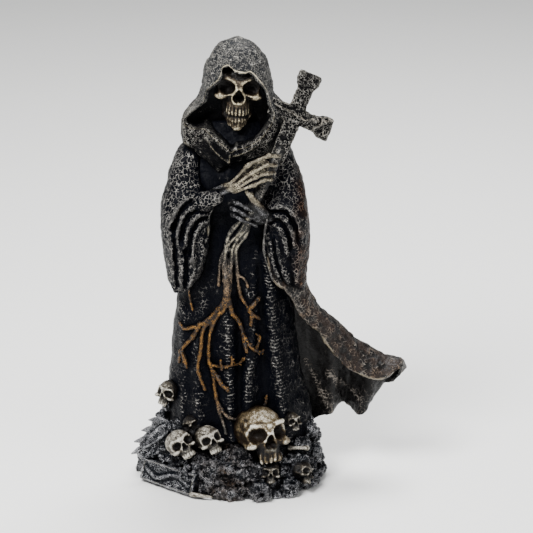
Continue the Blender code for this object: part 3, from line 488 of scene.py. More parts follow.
# The cape's tail: the wind lifts it out to one side, so it shows a rough outer strip, a ridge and the dark
# lining inside, with a wavy hem. Cast with the gown, about 3 mm thick; the strip has a mottled brown glaze.
CAPE_THICKNESS = 0.0030
CAPE_ROWS = 192
CAPE_ACROSS = 102
free_edge = through([
    (36, -44, 246), (43, -43, 219), (57, -40, 206), (68, -36, 184), (78, -33, 170), (90, -30, 160),
    (96, -29, 148), (107, -27, 133), (120, -25, 119), (135, -23, 111), (146, -21, 107), (157, -19, 108),
    (169, -11, 115)], CAPE_ROWS)
cape_ridge = through([
    (66, -12, 246), (72, -9, 214), (77, -6, 194), (87, -4, 176), (97, -2, 166), (107, 0, 157),
    (117, 2, 148), (127, 4, 138), (139, 6, 130), (149, 8, 124), (158, 9, 120), (165, 8, 119),
    (172, 3, 118)], CAPE_ROWS)
hem = through([
    (44, 20, 30), (62, 24, 36), (80, 24, 44), (91, 17, 54), (101, 8, 59), (109, 20, 66), (117, 27, 66),
    (126, 17, 61), (133, 6, 59), (144, 16, 74), (155, 22, 87), (165, 18, 91), (171, 8, 103)], CAPE_ROWS)
flap_middle = (free_edge + cape_ridge) / 2 + np.array([4.0, -3.0, 3.0])
panel_middle = (cape_ridge + hem) / 2 + np.array([5.0, 4.0, 0.0])
cape_sheet = through(np.array([free_edge, flap_middle, cape_ridge, panel_middle, hem]), CAPE_ACROSS)
cape_sheet = cape_sheet.transpose(1, 0, 2)
along, across = np.gradient(cape_sheet, axis=0), np.gradient(cape_sheet, axis=1)
cape_normal = np.cross(along, across)
cape_normal /= np.maximum(np.linalg.norm(cape_normal, axis=2), 1e-6)[..., None]
half_cloth = CAPE_THICKNESS / STEP / 2 * np.sin(np.linspace(0.12, math.pi - 0.12, CAPE_ACROSS)) ** 0.25
inner = cape_sheet + cape_normal * half_cloth[:, None]
outer = (cape_sheet - cape_normal * half_cloth[:, None])[:, ::-1]
cape_tail = casting("cape_tail", skin(np.concatenate([inner, outer], axis=1)))
tool_surface(cape_tail, (9, 0.9, 5), (4, 0.7, 6), (2, 0.3, 7))
across_share = np.concatenate([np.linspace(0, 1, CAPE_ACROSS), np.linspace(1, 0, CAPE_ACROSS)])
across_share = np.append(np.tile(across_share, CAPE_ROWS), [0.75, 0.75])
on_strip = ramp(across_share, 0.5, -0.08)
free = hill(across_share, 0, 0.009)
hem_edge = hill(across_share, 1, 0.02)
cape_points = steps_of(cape_tail)
near_sleeve = ramp(cape_points[:, 0], 96, -25)
cape_ridges = np.zeros(len(cape_points))
for stroke in ([(66, 132), (80, 108), (101, 68)], [(100, 104), (116, 88), (131, 76)], [(88, 90), (94, 72)]):
    distance = stroke_distance(cape_points[:, 0], cape_points[:, 2], stroke)
    cape_ridges = np.maximum(cape_ridges, hill(distance, 0, 3.5) * (1 - on_strip))
worn = np.clip(grain(cape_points, 10, 45) + 0.7, 0.2, 1)
mottle = grain(cape_points, 5, 47)
strip_brush = 0.36 * near_sleeve + (1 - near_sleeve) * (0.35 * mottle - 0.15)
panel_brush = 1.2 * cape_ridges - 0.42
mark(cape_tail, "brush", on_strip * strip_brush + (1 - on_strip) * panel_brush)
mark(cape_tail, "ladder", 0.5 * cape_ridges)
mark(cape_tail, "tint_and_painted_light", on_strip * np.clip(1.5 * grain(cape_points, 6, 46) + 0.6 - 0.4 * near_sleeve, 0, 1))
mark(cape_tail, "edge", worn * (0.55 * free + 0.3 * hem_edge))
# Brown glaze over black on cast resin: it gives the strip the look of wrinkled old leather.
cape_paint = dry_brushed("glazed_cape_resin", "#000000", "#050404", "#8a8279", "#a39780", 1.8, 0.0,
                         silver=0.3, gloss=0.2, warm=("#1e1612", "#7d6c5b"))
finish(cape_tail, cape_paint)

# The hood and cowl: a thick cloth hood round the face with a rolled rim, its lapels crossing on the chest.
# Cast with the gown. The whole hood is heavily rubbed with silver, the rim with ivory.
HOOD_MIDDLE = np.array([7.5, 0.0, 400.0])
HOOD_LOOPS = 122
HOOD_SIDES = 252


def around(table, angles):
    """A value given at some angles in degrees, read all the way round and rounded at its corners."""
    table = sorted(table)
    dense = np.linspace(-180, 180, 721)
    flat = np.interp(dense, [row[0] for row in table], [row[1] for row in table], period=360)
    near = np.array([1, 2, 3, 4, 3, 2, 1], float)
    flat = np.convolve(np.concatenate([flat[-4:-1], flat, flat[1:4]]), near / near.sum(), mode="valid")
    return np.interp(np.asarray(angles), dense, flat, period=360)


# Angles in degrees round the face, 0 at the crown and positive to the viewer's right.
hood_angle = np.linspace(-180, 180, HOOD_SIDES, endpoint=False)
hood_outer = around([
    (0, 56), (14, 54), (35, 46.7), (44, 43), (61, 38), (88, 35), (97, 39), (106, 50), (116, 55),
    (127, 61), (137, 64), (150, 62), (165, 61), (180, 62), (-172, 66), (-166, 75), (-160, 72), (-154, 68),
    (-141, 66), (-131, 71), (-124, 67), (-119, 63), (-114, 60), (-108, 52), (-102, 43), (-91, 37.5),
    (-77, 35), (-63, 37.3), (-46, 42.6), (-34, 46.2), (-20, 52)], hood_angle)
hood_rim = np.minimum(around([
    (-5, 31.5), (6, 30), (18, 30), (23, 33), (32, 32), (44, 30.5), (61, 30.5), (84, 31.5), (100, 34),
    (111, 40), (128, 42), (150, 44), (167, 46.5), (181, 47), (-174, 51), (-165, 46), (-154, 43),
    (-140, 42), (-131, 44), (-124, 54), (-117, 58), (-112, 56), (-107, 48), (-103, 39), (-95, 33),
    (-85, 31.5), (-70, 31), (-57, 28.5), (-40, 28.2), (-29, 31.3), (-22, 37),
    (-13, 38)], hood_angle), hood_outer - 2.5)
rim_depth = around([(0, -38), (45, -35), (80, -31), (105, -35), (120, -34), (150, -40), (180, -43),
                    (-150, -41), (-120, -27), (-90, -27), (-45, -35)], hood_angle)
side_depth = around([(0, -2), (85, -2), (106, -8), (125, -12), (150, -28), (180, -33), (-150, -30),
                     (-125, -12), (-90, -2)], hood_angle)
hollow_depth, hem_roll, nape_depth = -4.0, 3.0, 38.0
loops = [(hood_rim * 0.15, hollow_depth + 0 * hood_rim), (hood_rim * 0.7, hollow_depth + 0 * hood_rim),
         (hood_rim - hem_roll, hollow_depth + 0.25 * (rim_depth - hollow_depth)),
         (hood_rim - hem_roll, hollow_depth + 0.7 * (rim_depth - hollow_depth)),
         (hood_rim - hem_roll, rim_depth + 2), (hood_rim, rim_depth)]
for share in (0.18, 0.36, 0.54, 0.7, 0.85, 1.0):
    bend = math.sin(share * math.pi / 2)
    loops.append((hood_rim + (hood_outer - hood_rim) * bend,
                  side_depth + (rim_depth - side_depth) * (1 - share ** 1.6)))
for share in (0.2, 0.4, 0.6, 0.78, 0.92):
    swing = share * math.pi / 2
    loops.append((hood_outer * math.cos(swing), side_depth + (nape_depth - side_depth) * math.sin(swing)))
turn = np.radians(hood_angle)
hood_rings = np.array([np.stack([radius * np.sin(turn), depth, radius * np.cos(turn)], axis=1) + HOOD_MIDDLE
                       for radius, depth in loops])
hood_rings = through(hood_rings, HOOD_LOOPS)
# Folds of the cowl's cloth below the chin, in the front view.
cowl_folds = [[(-25, 366), (-18, 356), (-10, 347), (1, 338)], [(-24, 376), (-12, 361), (-4, 354), (1, 348)],
              [(1, 349), (0, 342), (1, 334)], [(-44, 356), (-33, 344), (-22, 331), (-13, 319)],
              [(36, 372), (28, 358), (16, 350), (3, 346)]]
model_folds(hood_rings, [(fold, 2.2, 2.0, 0) for fold in cowl_folds], -18.0)
hood = casting("hood", skin(hood_rings))
loop_place = np.linspace(0, len(loops) - 1, HOOD_LOOPS)
outside = ramp(loop_place, 5, 0.8)[:, None] * np.ones(HOOD_SIDES)
rim_line = hill(loop_place, 4.9, 0.18)[:, None] * np.ones(HOOD_SIDES)
crown_share = 0.4 + 0.6 * hill(hood_angle, 10, 45)
fold_line = np.zeros(outside.shape)
for fold in cowl_folds:
    distance = stroke_distance(hood_rings[..., 0], hood_rings[..., 2], fold)
    fold_line = np.maximum(fold_line, hill(distance, 0, 0.7) * (hood_rings[..., 1] < -20))
behind_face = ramp(hood_rings[..., 1], 2, 16)
cowl_shade = np.exp(-((hood_rings[..., 0] + 8) / 30) ** 4 - ((hood_rings[..., 2] - 342) / 22) ** 4)
tool_surface(hood, (9, 0.8, 8), (4, 0.6, 9), (2.2, 0.4, 10))
mark(hood, "brush", np.append((0.5 - 0.95 * cowl_shade - 0.35 * behind_face) * outside, [0, 0.5]))
mark(hood, "edge", np.maximum(rim_line * crown_share, 0.46 * fold_line * outside))
# Painted light: the upper part of the hood takes a lighter grey ground.
mark(hood, "tint_and_painted_light", ramp(steps_of(hood)[:, 2], 374, 26))
# Acrylic paint on cast resin, grey rubbed over black, which gives the crown a leathery look.
hood_paint = dry_brushed("hood_paint_on_resin", "#000000", "#040406", "#a29e96", "#d9cdb0", 1.1, 0.04,
                         warm=("#202123", "#9c9992"))
finish(hood, hood_paint)

# The skull face: a bare skull deep in the hood, looking a little down, with slanted brows, its jaw shut and
# two rows of teeth. Cast with the hood; bone paint with brown washes and painted shade in every hollow, and
# painted shadow of the hood on its brow and the sides of its jaw.


def ellipsoid(p, centre, radii):
    """Distance-like field of an ellipsoid, negative inside."""
    return (np.linalg.norm((p - np.array(centre)) / np.array(radii), axis=-1) - 1) * min(radii)


def capsule(p, start, end, radius):
    """Distance field of a rod with round ends."""
    start, end = np.array(start, float), np.array(end, float)
    share = np.clip((p - start) @ (end - start) / ((end - start) @ (end - start)), 0, 1)
    return np.linalg.norm(p - start - share[..., None] * (end - start), axis=-1) - radius


def blend(a, b, soft):
    """Joins two fields with a fillet."""
    h = np.clip(0.5 + 0.5 * (b - a) / soft, 0, 1)
    return b + (a - b) * h - soft * h * (1 - h)


def cut(a, b, soft):
    """Takes field b out of field a, with a rounded lip."""
    return -blend(-a, b, soft)


def eye_hole(p, side):
    """Field of the eye socket on one side."""
    return ellipsoid(p, (side * 0.53, -1.00, -0.02), (0.405, 0.58, 0.335))


def nose_hole(p):
    """Field of the nose hole: two low lobes and one above."""
    lower = np.minimum(ellipsoid(p, (-0.09, -1.02, -0.47), (0.15, 0.42, 0.17)),
                       ellipsoid(p, (0.09, -1.02, -0.47), (0.15, 0.42, 0.17)))
    return blend(lower, ellipsoid(p, (0, -1.02, -0.30), (0.15, 0.42, 0.28)), 0.04)


def tooth_rows(jaw):
    """Height and half height of each row of teeth."""
    return ((-1.04, 0.19), (-1.38, 0.14)) if jaw else ((-0.98, 0.19),)


def skull_field(p, jaw, teeth):
    """A skull of cranium radius 1 that looks along -y, with its eye line at z = 0. One with a jaw scowls."""
    brow_middle, brow_end, brow = (0.20, 0.48, 0.095) if jaw else (0.28, 0.38, 0.065)
    field = ellipsoid(p, (0, 0.15, 0.12), (0.93, 1.12, 0.90))
    field = blend(field, ellipsoid(p, (0, -0.46, 0.02), (0.84, 0.50, 0.52)), 0.16)
    field = blend(field, ellipsoid(p, (0, -0.54, -0.70), (0.43, 0.45, 0.50)), 0.16)
    for side in (-1, 1):
        field = cut(field, ellipsoid(p, (side * 1.10, -0.52, 0.12), (0.25, 0.40, 0.32)), 0.14)
        field = blend(field, ellipsoid(p, (side * 0.68, -0.62, -0.45), (0.26, 0.27, 0.15)), 0.16)
        cheek_arch = capsule(p, (side * 0.78, -0.48, -0.42), (side * 0.84, 0.10, -0.24), 0.075)
        field = blend(field, cheek_arch, 0.14)
        ridge = capsule(p, (side * 0.07, -0.95, brow_middle), (side * 0.66, -0.78, brow_end), brow)
        field = blend(field, ridge, 0.12)
        field = cut(field, ellipsoid(p, (side * 0.60, -0.86, -0.92), (0.20, 0.34, 0.26)), 0.10)
        if jaw:
            chin_edge = capsule(p, (side * 0.06, -0.82, -1.72), (side * 0.48, -0.32, -1.30), 0.12)
            field = blend(field, chin_edge, 0.08)
            jaw_branch = capsule(p, (side * 0.48, -0.24, -1.34), (side * 0.64, 0.05, -0.45), 0.10)
            field = blend(field, jaw_branch, 0.06)
    if jaw:
        field = blend(field, ellipsoid(p, (0, -0.46, -1.24), (0.34, 0.40, 0.42)), 0.08)
    field = blend(field, capsule(p, (0, -0.90, 0.10), (0, -1.06, -0.10), 0.085), 0.08)
    lips = (0.035, 0.035, 0.045) if jaw else (0.015, 0.015, 0.02)
    for hole, lip in zip((eye_hole(p, -1), eye_hole(p, 1), nose_hole(p)), lips):
        field = field - lip * hill(hole, 0.02, 0.055) * (p[..., 1] < -0.5)
        field = cut(field, hole, 0.04)
    for row, (height, tall) in enumerate(tooth_rows(jaw)):
        for place in range(teeth):
            swing = (place - (teeth - 1) / 2) * 2.48 / teeth
            across = 0.37 if row else 0.44
            tooth = np.array([across * math.sin(swing), -0.48 - 0.46 * math.cos(swing), height])
            field = blend(field, ellipsoid(p, tooth, (0.56 / teeth, 0.085, tall)), 0.015)
            root = tooth * (0.96, 0.96, 1.0) + (0, 0, -0.16 if row else 0.22)
            field = blend(field, ellipsoid(p, root, (0.42 / teeth, 0.07, 0.16)), 0.04)
    return field


def skull(centre, radius, yaw, pitch, roll, jaw, teeth, rings, sides):
    """A skull's skin, found by rays from its middle, with how deep in a pit and how far back a point is."""
    polar = math.pi * np.linspace(0.02, 0.985, rings) ** 1.2
    turn = np.linspace(0, 2 * math.pi, sides, endpoint=False)
    polar, turn = np.meshgrid(polar, turn, indexing="ij")
    rays = np.stack([np.sin(polar) * np.sin(turn), -np.cos(polar), np.sin(polar) * np.cos(turn)], axis=-1)
    heart = np.array([0, -0.10, -0.45 if jaw else -0.15])
    reach = np.full(polar.shape, 2.6)
    for _ in range(36):
        reach = np.maximum(reach - 0.75 * skull_field(heart + rays * reach[..., None], jaw, teeth), 0.12)
    p = heart + rays * reach[..., None]
    pit = np.zeros(polar.shape)
    for hole in (eye_hole(p, -1), eye_hole(p, 1), nose_hole(p)):
        pit = np.maximum(pit, ramp(hole, 0.0, -0.04))
    swing = np.arctan2(p[..., 0], -(p[..., 1] + 0.48)) / (2.48 / teeth) + teeth / 2
    gap = np.clip((np.abs(swing - np.floor(swing) - 0.5) - 0.34) / 0.1, 0, 1)
    rows = np.zeros(polar.shape)
    for height, tall in tooth_rows(jaw):
        rows = np.maximum(rows, np.clip((tall + 0.02 - np.abs(p[..., 2] - height)) / 0.03, 0, 1))
    if jaw:
        pit = np.maximum(pit, hill(p[..., 2], -1.235, 0.025) * (p[..., 1] < -0.6))
    pit = np.maximum(pit, 0.85 * gap * rows * (swing > 0) * (swing < teeth) * (p[..., 1] < -0.5))
    if not jaw:
        low = ramp(p[..., 2], -0.45, -0.1) * ramp(p[..., 2], -0.84, 0.06)
        pit = np.maximum(pit, 0.8 * low)
    behind = ramp(polar, 0.95, 0.6)
    spin = (Matrix.Rotation(math.radians(yaw), 3, "Z") @ Matrix.Rotation(math.radians(pitch), 3, "X")
            @ Matrix.Rotation(math.radians(roll), 3, "Y"))
    made = skin((p * radius) @ np.array(spin).T + np.array(centre))
    return made, np.append(pit.ravel(), [1, 0]), np.append(behind.ravel(), [0, 1])


def washed_bone(name, bone, shade, wash_and_shade, pit, load):
    """Bone paint on resin: pale on what stands proud, thin brown washes in hair cracks, and washes with
    painted shade pooled in hollows.

    bone, shade, wash and pit are colours, the third being the dark that washes and painted shade give the
    hollows, and load is how much of the bone paint is left. The real hair cracks are finer than the render
    shows, so they are drawn 1.2 mm apart.
    """
    paint = bpy.data.materials.new(name)
    paint.use_nodes = True
    tree = paint.node_tree
    shader = tree.nodes["Principled BSDF"]
    place = add(tree, "ShaderNodeTexCoord").outputs["Object"]
    reads = {}
    for layer in ("wash_and_shade", "proud", "edge", "tint_and_painted_light"):
        reads[layer] = add(tree, "ShaderNodeAttribute", attribute_name=layer).outputs["Fac"]
    blotch = add(tree, "ShaderNodeTexNoise",
                 {"Vector": place, "Scale": 1 / 0.0016, "Detail": 4.0, "Roughness": 0.75})
    cracks = add(tree, "ShaderNodeTexVoronoi",
                 {"Vector": place, "Scale": 1 / 0.0012}, feature="DISTANCE_TO_EDGE")
    clear = add(tree, "ShaderNodeMapRange",
                {"Value": cracks.outputs["Distance"], "From Max": 0.14}).outputs[0]
    total = add(tree, "ShaderNodeMath",
                {0: reads["proud"], 1: 1.1, 2: load - 1.15}, operation="MULTIPLY_ADD").outputs[0]
    for socket, weight in ((blotch.outputs["Fac"], 1.5), (reads["wash_and_shade"], -1.2), (clear, 0.4),
                           (reads["tint_and_painted_light"], -0.5)):
        total = add(tree, "ShaderNodeMath",
                    {0: socket, 1: weight, 2: total}, operation="MULTIPLY_ADD").outputs[0]
    pale = add(tree, "ShaderNodeMapRange", {"Value": total, "From Min": -0.1, "From Max": 0.9}).outputs[0]
    colours = add(tree, "ShaderNodeValToRGB", {"Fac": pale})
    stops = colours.color_ramp.elements
    stops[0].color, stops[0].position = linear(wash_and_shade), 0.0
    stops[1].color, stops[1].position = linear(bone), 0.92
    stops.new(0.45).color = linear(shade)
    dark = add(tree, "ShaderNodeMix", {0: reads["edge"], 6: colours.outputs["Color"], 7: linear(pit)},
               data_type="RGBA")
    tree.links.new(dark.outputs[2], shader.inputs["Base Color"])
    shader.inputs["Roughness"].default_value = 0.38
    shader.inputs["Specular IOR Level"].default_value = 0.15
    shine = add(tree, "ShaderNodeMath", {0: pale, 1: 0.25}, operation="MULTIPLY").outputs[0]
    tree.links.new(shine, shader.inputs["Metallic"])
    bumps = add(tree, "ShaderNodeMath", {0: blotch.outputs["Fac"], 1: clear}, operation="ADD").outputs[0]
    bump = add(tree, "ShaderNodeBump", {"Height": bumps, "Strength": 0.5, "Distance": 0.0003})
    tree.links.new(bump.outputs[0], shader.inputs["Normal"])
    return paint


FACE_MIDDLE = (9, -9, 414)
FACE_RADIUS = 24.5
face_skin, face_pit, _ = skull(FACE_MIDDLE, FACE_RADIUS, 2, 4, 3, True, 8, 144, 172)
face = casting("skull_face", face_skin)
tool_surface(face, (3, 0.25, 12), (7, 0.3, 13))
mark(face, "edge", face_pit)
face_points = steps_of(face)
face_height = (face_points[:, 2] - FACE_MIDDLE[2]) / FACE_RADIUS
# Painted shadow of the hood: the forehead and the sides of the jaw are darkened.
jaw_side_shadow = ramp(np.abs(face_points[:, 0] - FACE_MIDDLE[0]), 11.5, 2)
jaw_side_shadow *= ramp(face_height, -0.6, -0.15)
mark(face, "tint_and_painted_light", 0.8 * ramp(face_height, 0.5, 0.2) + 1.5 * jaw_side_shadow)
# Bone acrylic under a brown wash: old bone, shiny only where it is rubbed.
face_paint = washed_bone("washed_bone_resin", "#c2b799", "#453b2f", "#0a0705", "#000000", load=-0.36)
finish(face, face_paint)

# The cross: flat bars with clubbed ends, its shaft leaning back against the shoulder. Cast with the hands;
# pitted like old iron, grey paint rubbed over black.
CROSS_BAR_WIDTH = 0.0082
CROSS_BAR_THICKNESS = 0.0044


def squared_bar(middle, along, sideways, outwards, stations, half_width, half_thick, rings=90):
    """A skin of rounded square section; each station is (reach along the bar, share of its width)."""
    turn = np.linspace(0, 2 * math.pi, 48, endpoint=False) + math.pi / 48
    across = np.sign(np.cos(turn)) * np.abs(np.cos(turn)) ** 0.25
    deep = np.sign(np.sin(turn)) * np.abs(np.sin(turn)) ** 0.25
    made = []
    for reach, flare in through(stations, rings):
        centre = np.array(middle) + np.array(along) * reach
        made.append(centre + np.outer(across * half_width * flare, sideways)
                    + np.outer(deep * half_thick * (0.7 + 0.3 * flare), outwards))
    return skin(made)


def melted(name, voxel_mm, rounds, *skins):
    """Skins melted into one closed surface, as the clay model's joints were smoothed before casting."""
    obj = casting(name, *skins)
    remesh = obj.modifiers.new("melt", "REMESH")
    remesh.mode = "VOXEL"
    remesh.voxel_size = voxel_mm / 1000
    smooth = obj.modifiers.new("smooth", "SMOOTH")
    smooth.factor = 0.5
    smooth.iterations = rounds
    mesh = bpy.data.meshes.new_from_object(obj.evaluated_get(bpy.context.evaluated_depsgraph_get()))
    obj.modifiers.clear()
    obj.data = mesh
    return obj


cross_middle = np.array([64.0, -30.0, 384.0])
cross_up = np.array(Vector((16, 12, 38)).normalized())
cross_right = np.array(Vector((33, -6, -13)).normalized())
cross_face = np.array(Vector(cross_up).cross(Vector(cross_right)).normalized())
bar_half, bar_thick = CROSS_BAR_WIDTH / STEP / 2, CROSS_BAR_THICKNESS / STEP / 2
# Raised strokes on the front of the clubbed ends, each from and to (along, across) the arm.
cross_strokes = []
for start, end in (((22, -7), (35, 8)), ((27, 8), (35, -8)), ((14, 0), (24, 2)), ((-22, 2), (12, -2))):
    front = -cross_face if cross_face[1] > 0 else cross_face
    stroke = [cross_middle + cross_right * a + cross_up * b + front * bar_thick * (1.0 if a < 24 else 1.15)
              for a, b in through([start, end], 4)]
    cross_strokes.append(limb(stroke, [1.2, 1.7, 1.7, 1.2], 8, 12))
cross = melted(
    "cross", 0.35, 3,
    squared_bar(cross_middle, cross_up, cross_right, cross_face,
                [(-50, 0.8), (-36, 0.9), (0, 1.0), (17, 0.95), (27, 0.97), (32, 1.3), (38, 1.4), (42, 1.4),
                 (44, 1.25)],
                bar_half, bar_thick),
    squared_bar(cross_middle, cross_right, cross_up, cross_face,
                [(-26, 1.0), (-14, 1.0), (0, 1.0), (15, 0.95), (22, 0.98), (27, 1.3), (32, 1.4), (36, 1.4),
                 (38, 1.25)],
                bar_half, bar_thick),
    *cross_strokes)
tool_surface(cross, (3.5, 0.6, 14), (1.8, 0.35, 15))
cross_front = facing(cross)
# Painted shade: the sides that turn away from the front take far less silver.
mark(cross, "brush", 0.34 - 0.8 * ramp(cross_front, 0.55, -0.3))
mark(cross, "edge", 0.75 * hill(cross_front, 0.62, 0.12))
# Grey rubbed over black on cast resin with shallow pits, which gives it the look of old iron.
cross_paint = dry_brushed("pitted_grey_resin", "#000000", "#030304", "#8b8882", "#a9a295", 1.25, 0.05)
finish(cross, cross_paint)

# The hands: two bony hands crossed over the shaft, the upper one on the cross, the lower one round the
# staff, with their forearms coming out of the sleeves. Bronze-brown paint, rubbed pale on the bones.
FINGER_WIDTH = 0.0031
bone = FINGER_WIDTH / STEP / 2
upper_fingers = [
    [(2, -60, 323), (14, -63, 338), (21, -64, 344.5), (36, -62, 351), (43, -60, 351.5), (49, -54, 349)],
    [(4, -62, 320), (17, -66, 332), (27, -67, 339), (36, -65, 343), (41, -63, 343), (46, -57, 341)],
    [(5, -63, 318), (20, -67, 328.5), (29, -68, 333.5), (36, -66, 335), (41, -63, 335), (45, -56, 333)],
    [(5, -62, 316), (20, -66, 322), (26, -67, 325), (32, -66, 328), (38, -63, 328.5), (42, -57, 327)]]
lower_fingers = [
    [(31, -57, 291), (20, -65, 299), (12, -67, 304), (6, -65, 306), (3, -59, 305)],
    [(29, -57, 285), (17, -65, 292.5), (9, -66, 297.5), (4, -64, 299), (2, -58, 298)],
    [(26, -56, 280), (15, -63, 286.5), (8, -64, 290.5), (4, -62, 292), (3, -57, 291)]]
knuckled = [0.85, 0.55, 0.55, 0.85, 0.6, 0.58, 0.82, 0.58, 0.72, 0.5]
hand_skins = []
for finger in upper_fingers + lower_fingers:
    hand_skins.append(limb(through(finger, 10), np.array(knuckled) * bone, 12, 60))
hand_skins += [
    limb([(-26, -40, 296), (-12, -54, 309), (-1, -61, 317), (3, -63, 319)], [3.6, 2.6, 2.8, 4.2], 14, 50),
    limb([(-24, -38, 304), (-13, -51, 315), (-3, -58, 321), (3, -61, 322)], [3.6, 2.4, 2.6, 3.4], 14, 50),
    limb([(-26, -36, 299), (-12, -50, 310), (0, -58, 319)], [4, 3, 3], 14, 40),
    limb([(3, -59, 319), (12, -59, 329), (22, -59, 336), (34, -55, 340)], [3.5, 5.5, 7.5, 6.5], 18, 40,
         0.4),
    limb([(46, -40, 280), (38, -50, 287), (31, -55, 291)], [7, 5.5, 5], 16, 40),
    limb([(35, -57, 290), (29, -62, 300), (23, -64, 309), (17, -62, 316)], [5, 4.4, 3.2, 2.0], 18, 40, 0.8),
    limb([(32, -54, 284), (26, -58, 291), (18, -59, 298)], [5, 6, 4], 18, 40, 0.6)]
hands = melted("hands", 0.285, 2, *hand_skins)
tool_surface(hands, (2.0, 0.18, 16))
# The lower hand lies in the shade of the upper one and is silver-grey.
hand_points = steps_of(hands)
in_shade = np.clip((308 - hand_points[:, 2] - 0.55 * (hand_points[:, 0] - 22)) / 5, 0, 1)
# What faces the front takes the pale paint and the sides stay dark: painted highlight and shade over the
# bones' rubbed silver; the lower hand's silver is cut back as painted shade.
mark(hands, "brush", 0.08 + 0.68 * ramp(facing(hands), 0.4, 0.5) - 0.35 * in_shade)
mark(hands, "tint_and_painted_light", in_shade)
# Acrylic paint on smooth cast resin, ivory over bronze brown, with a soft sheen like handled bone.
hand_paint = dry_brushed("bronzed_hand_resin", "#010000", "#170f08", "#bab097", "#d8cfb8", 1.1, -0.1,
                         relief=0.6, gloss=0.2, silver=0.3, warm=("#030304", "#7f7e80"))
finish(hands, hand_paint)

# The staff and its roots: below the lower hand the shaft turns into a bunch of roots that spread over the
# front of the gown. Cast with the gown; silver-grey at the top, running to rust and ochre at the tips.
ROOT_WIDTH = 0.0042
# Each root: its course in the front view as (x, z), the radius at its start and end as shares of the
# trunk's, and how far it stands off the gown.
root_courses = [
    ([(16, 289), (6, 277), (-1, 265), (-3.5, 254), (-5, 244), (-5.5, 234), (-5, 218)], 0.5, 0.55, 2.5),
    ([(18, 289), (14, 279), (9, 269), (0, 257), (-3, 246)], 0.48, 0.45, 2.5),
    ([(20, 287), (16, 273), (7.5, 261), (3, 251), (2, 242), (1, 228), (0, 208)], 0.5, 0.6, 2.5),
    ([(20, 281), (17, 267), (8.5, 254), (6.6, 246), (7, 233), (8, 220), (9.3, 209), (11.2, 200),
      (17.3, 190.5), (21.2, 182.5), (21.2, 172)], 0.42, 0.5, 2),
    ([(-3.5, 252), (-4.5, 240), (-3.5, 226), (-2.5, 214), (-3, 200)], 0.6, 1.1, 2),
    ([(14, 262), (10, 256), (7.5, 250)], 0.35, 0.35, 2),
    ([(-3, 252), (-7, 245), (-9.4, 235), (-10.2, 224), (-10.6, 213)], 0.3, 0.4, 2),
    ([(19, 187), (24, 193), (28.5, 198)], 0.5, 0.6, 3),
    ([(20.5, 185), (25, 181), (29.6, 176)], 0.45, 0.5, 3),
    ([(8, 224), (15, 218), (18, 211)], 0.35, 0.35, 2),
    ([(-4, 198), (-12, 186), (-24, 174), (-36, 167), (-46, 164), (-50, 169)], 0.6, 0.45, 2),
    ([(-30, 171), (-35, 160), (-44, 148), (-49, 140), (-51, 128)], 0.65, 0.5, 2),
    ([(-48, 142), (-45, 132), (-43, 125)], 0.5, 0.5, 3),
    ([(0, 198), (-8, 186), (-21, 173), (-27, 164), (-29, 144), (-32, 130), (-30, 118),
      (-25, 104)], 0.55, 0.5, 2),
    ([(-10, 184), (-18, 168), (-21, 150), (-21, 134), (-17, 120), (-15, 104), (-12, 92),
      (-6, 82)], 0.55, 0.45, 2), ([(-16, 122), (-9, 112), (-2, 106)], 0.5, 0.55, 3),
    ([(-14, 100), (-12, 86), (-8, 74), (-4, 60)], 0.45, 0.45, 2),
    ([(-8, 83), (-2, 79), (7, 74)], 0.4, 0.4, 3),
    ([(0, 196), (3, 184), (9, 174), (13, 162), (15, 152), (17, 146)], 0.6, 0.6, 2),
    ([(13, 162), (19, 153), (26, 146), (32, 141)], 0.5, 0.4, 3),
    ([(26, 147), (30, 156), (26, 162)], 0.4, 0.35, 3),
    ([(-17, 128), (-8, 129), (2, 132), (9, 131), (15, 139)], 0.35, 0.4, 3),
    ([(-8, 126), (-9, 136)], 0.35, 0.35, 4), ([(2, 132), (2, 141)], 0.3, 0.3, 4),
    ([(33, 82), (36, 90), (37, 97)], 0.45, 0.3, 3), ([(-41, 210), (-40, 198), (-37, 184)], 0.4, 0.3, 2)]
gown_surface = BVHTree.FromObject(gown, bpy.context.evaluated_depsgraph_get())
# Roots that stand off the gown by this much or more bear rusty thorns, each turned its own way.
THORN_STAND_OFF = 3
thorn_draw = np.random.RandomState(49)
root_skins = [limb([(50, -42, 352), (36, -53, 326), (24, -59, 302), (17, -58, 286)],
                   [5.5, 5.5, 5.5, 4.5], 18, 70)]
for course, start, end, stand_off in root_courses:
    path = []
    for x, z in through(course, 5 * len(course)):
        hit = gown_surface.ray_cast(Vector((x * STEP, -1.0, z * STEP)), Vector((0, 1, 0)))[0]
        lift = 17 * min(max((z - 240) / 44, 0), 1) ** 1.3
        path.append((x, hit.y / STEP - stand_off - lift, z))
    path = np.array(path)
    for _ in range(3):
        path[1:-1, 1] = (path[:-2, 1] + path[1:-1, 1] + path[2:, 1]) / 3
    knots = 1 + 0.18 * grain(path, 6, 17)
    radii = np.linspace(start, 0.88 * end, len(path)) * knots * ROOT_WIDTH / STEP / 2
    root_skins.append(limb(path, radii, 12, 8 * len(course)))
    if stand_off >= THORN_STAND_OFF:
        for place in path[3::3]:
            tip = place + thorn_draw.uniform(-1, 1, 3) * (3.6, 0.8, 3.6) - (0, 1.4, 0)
            root_skins.append(limb([place, (place + tip) / 2, tip], [1.2, 1.0, 0.8], 8, 10))
roots = melted("staff_and_roots", 0.335, 2, *root_skins)
tool_surface(roots, (2.5, 0.3, 18), (5, 0.5, 19))
root_points = steps_of(roots)
root_height = ramp(root_points[:, 2], 225, 25)
root_brush = 0.3 * grain(root_points, 7, 48) - 0.17 - 0.3 * root_height
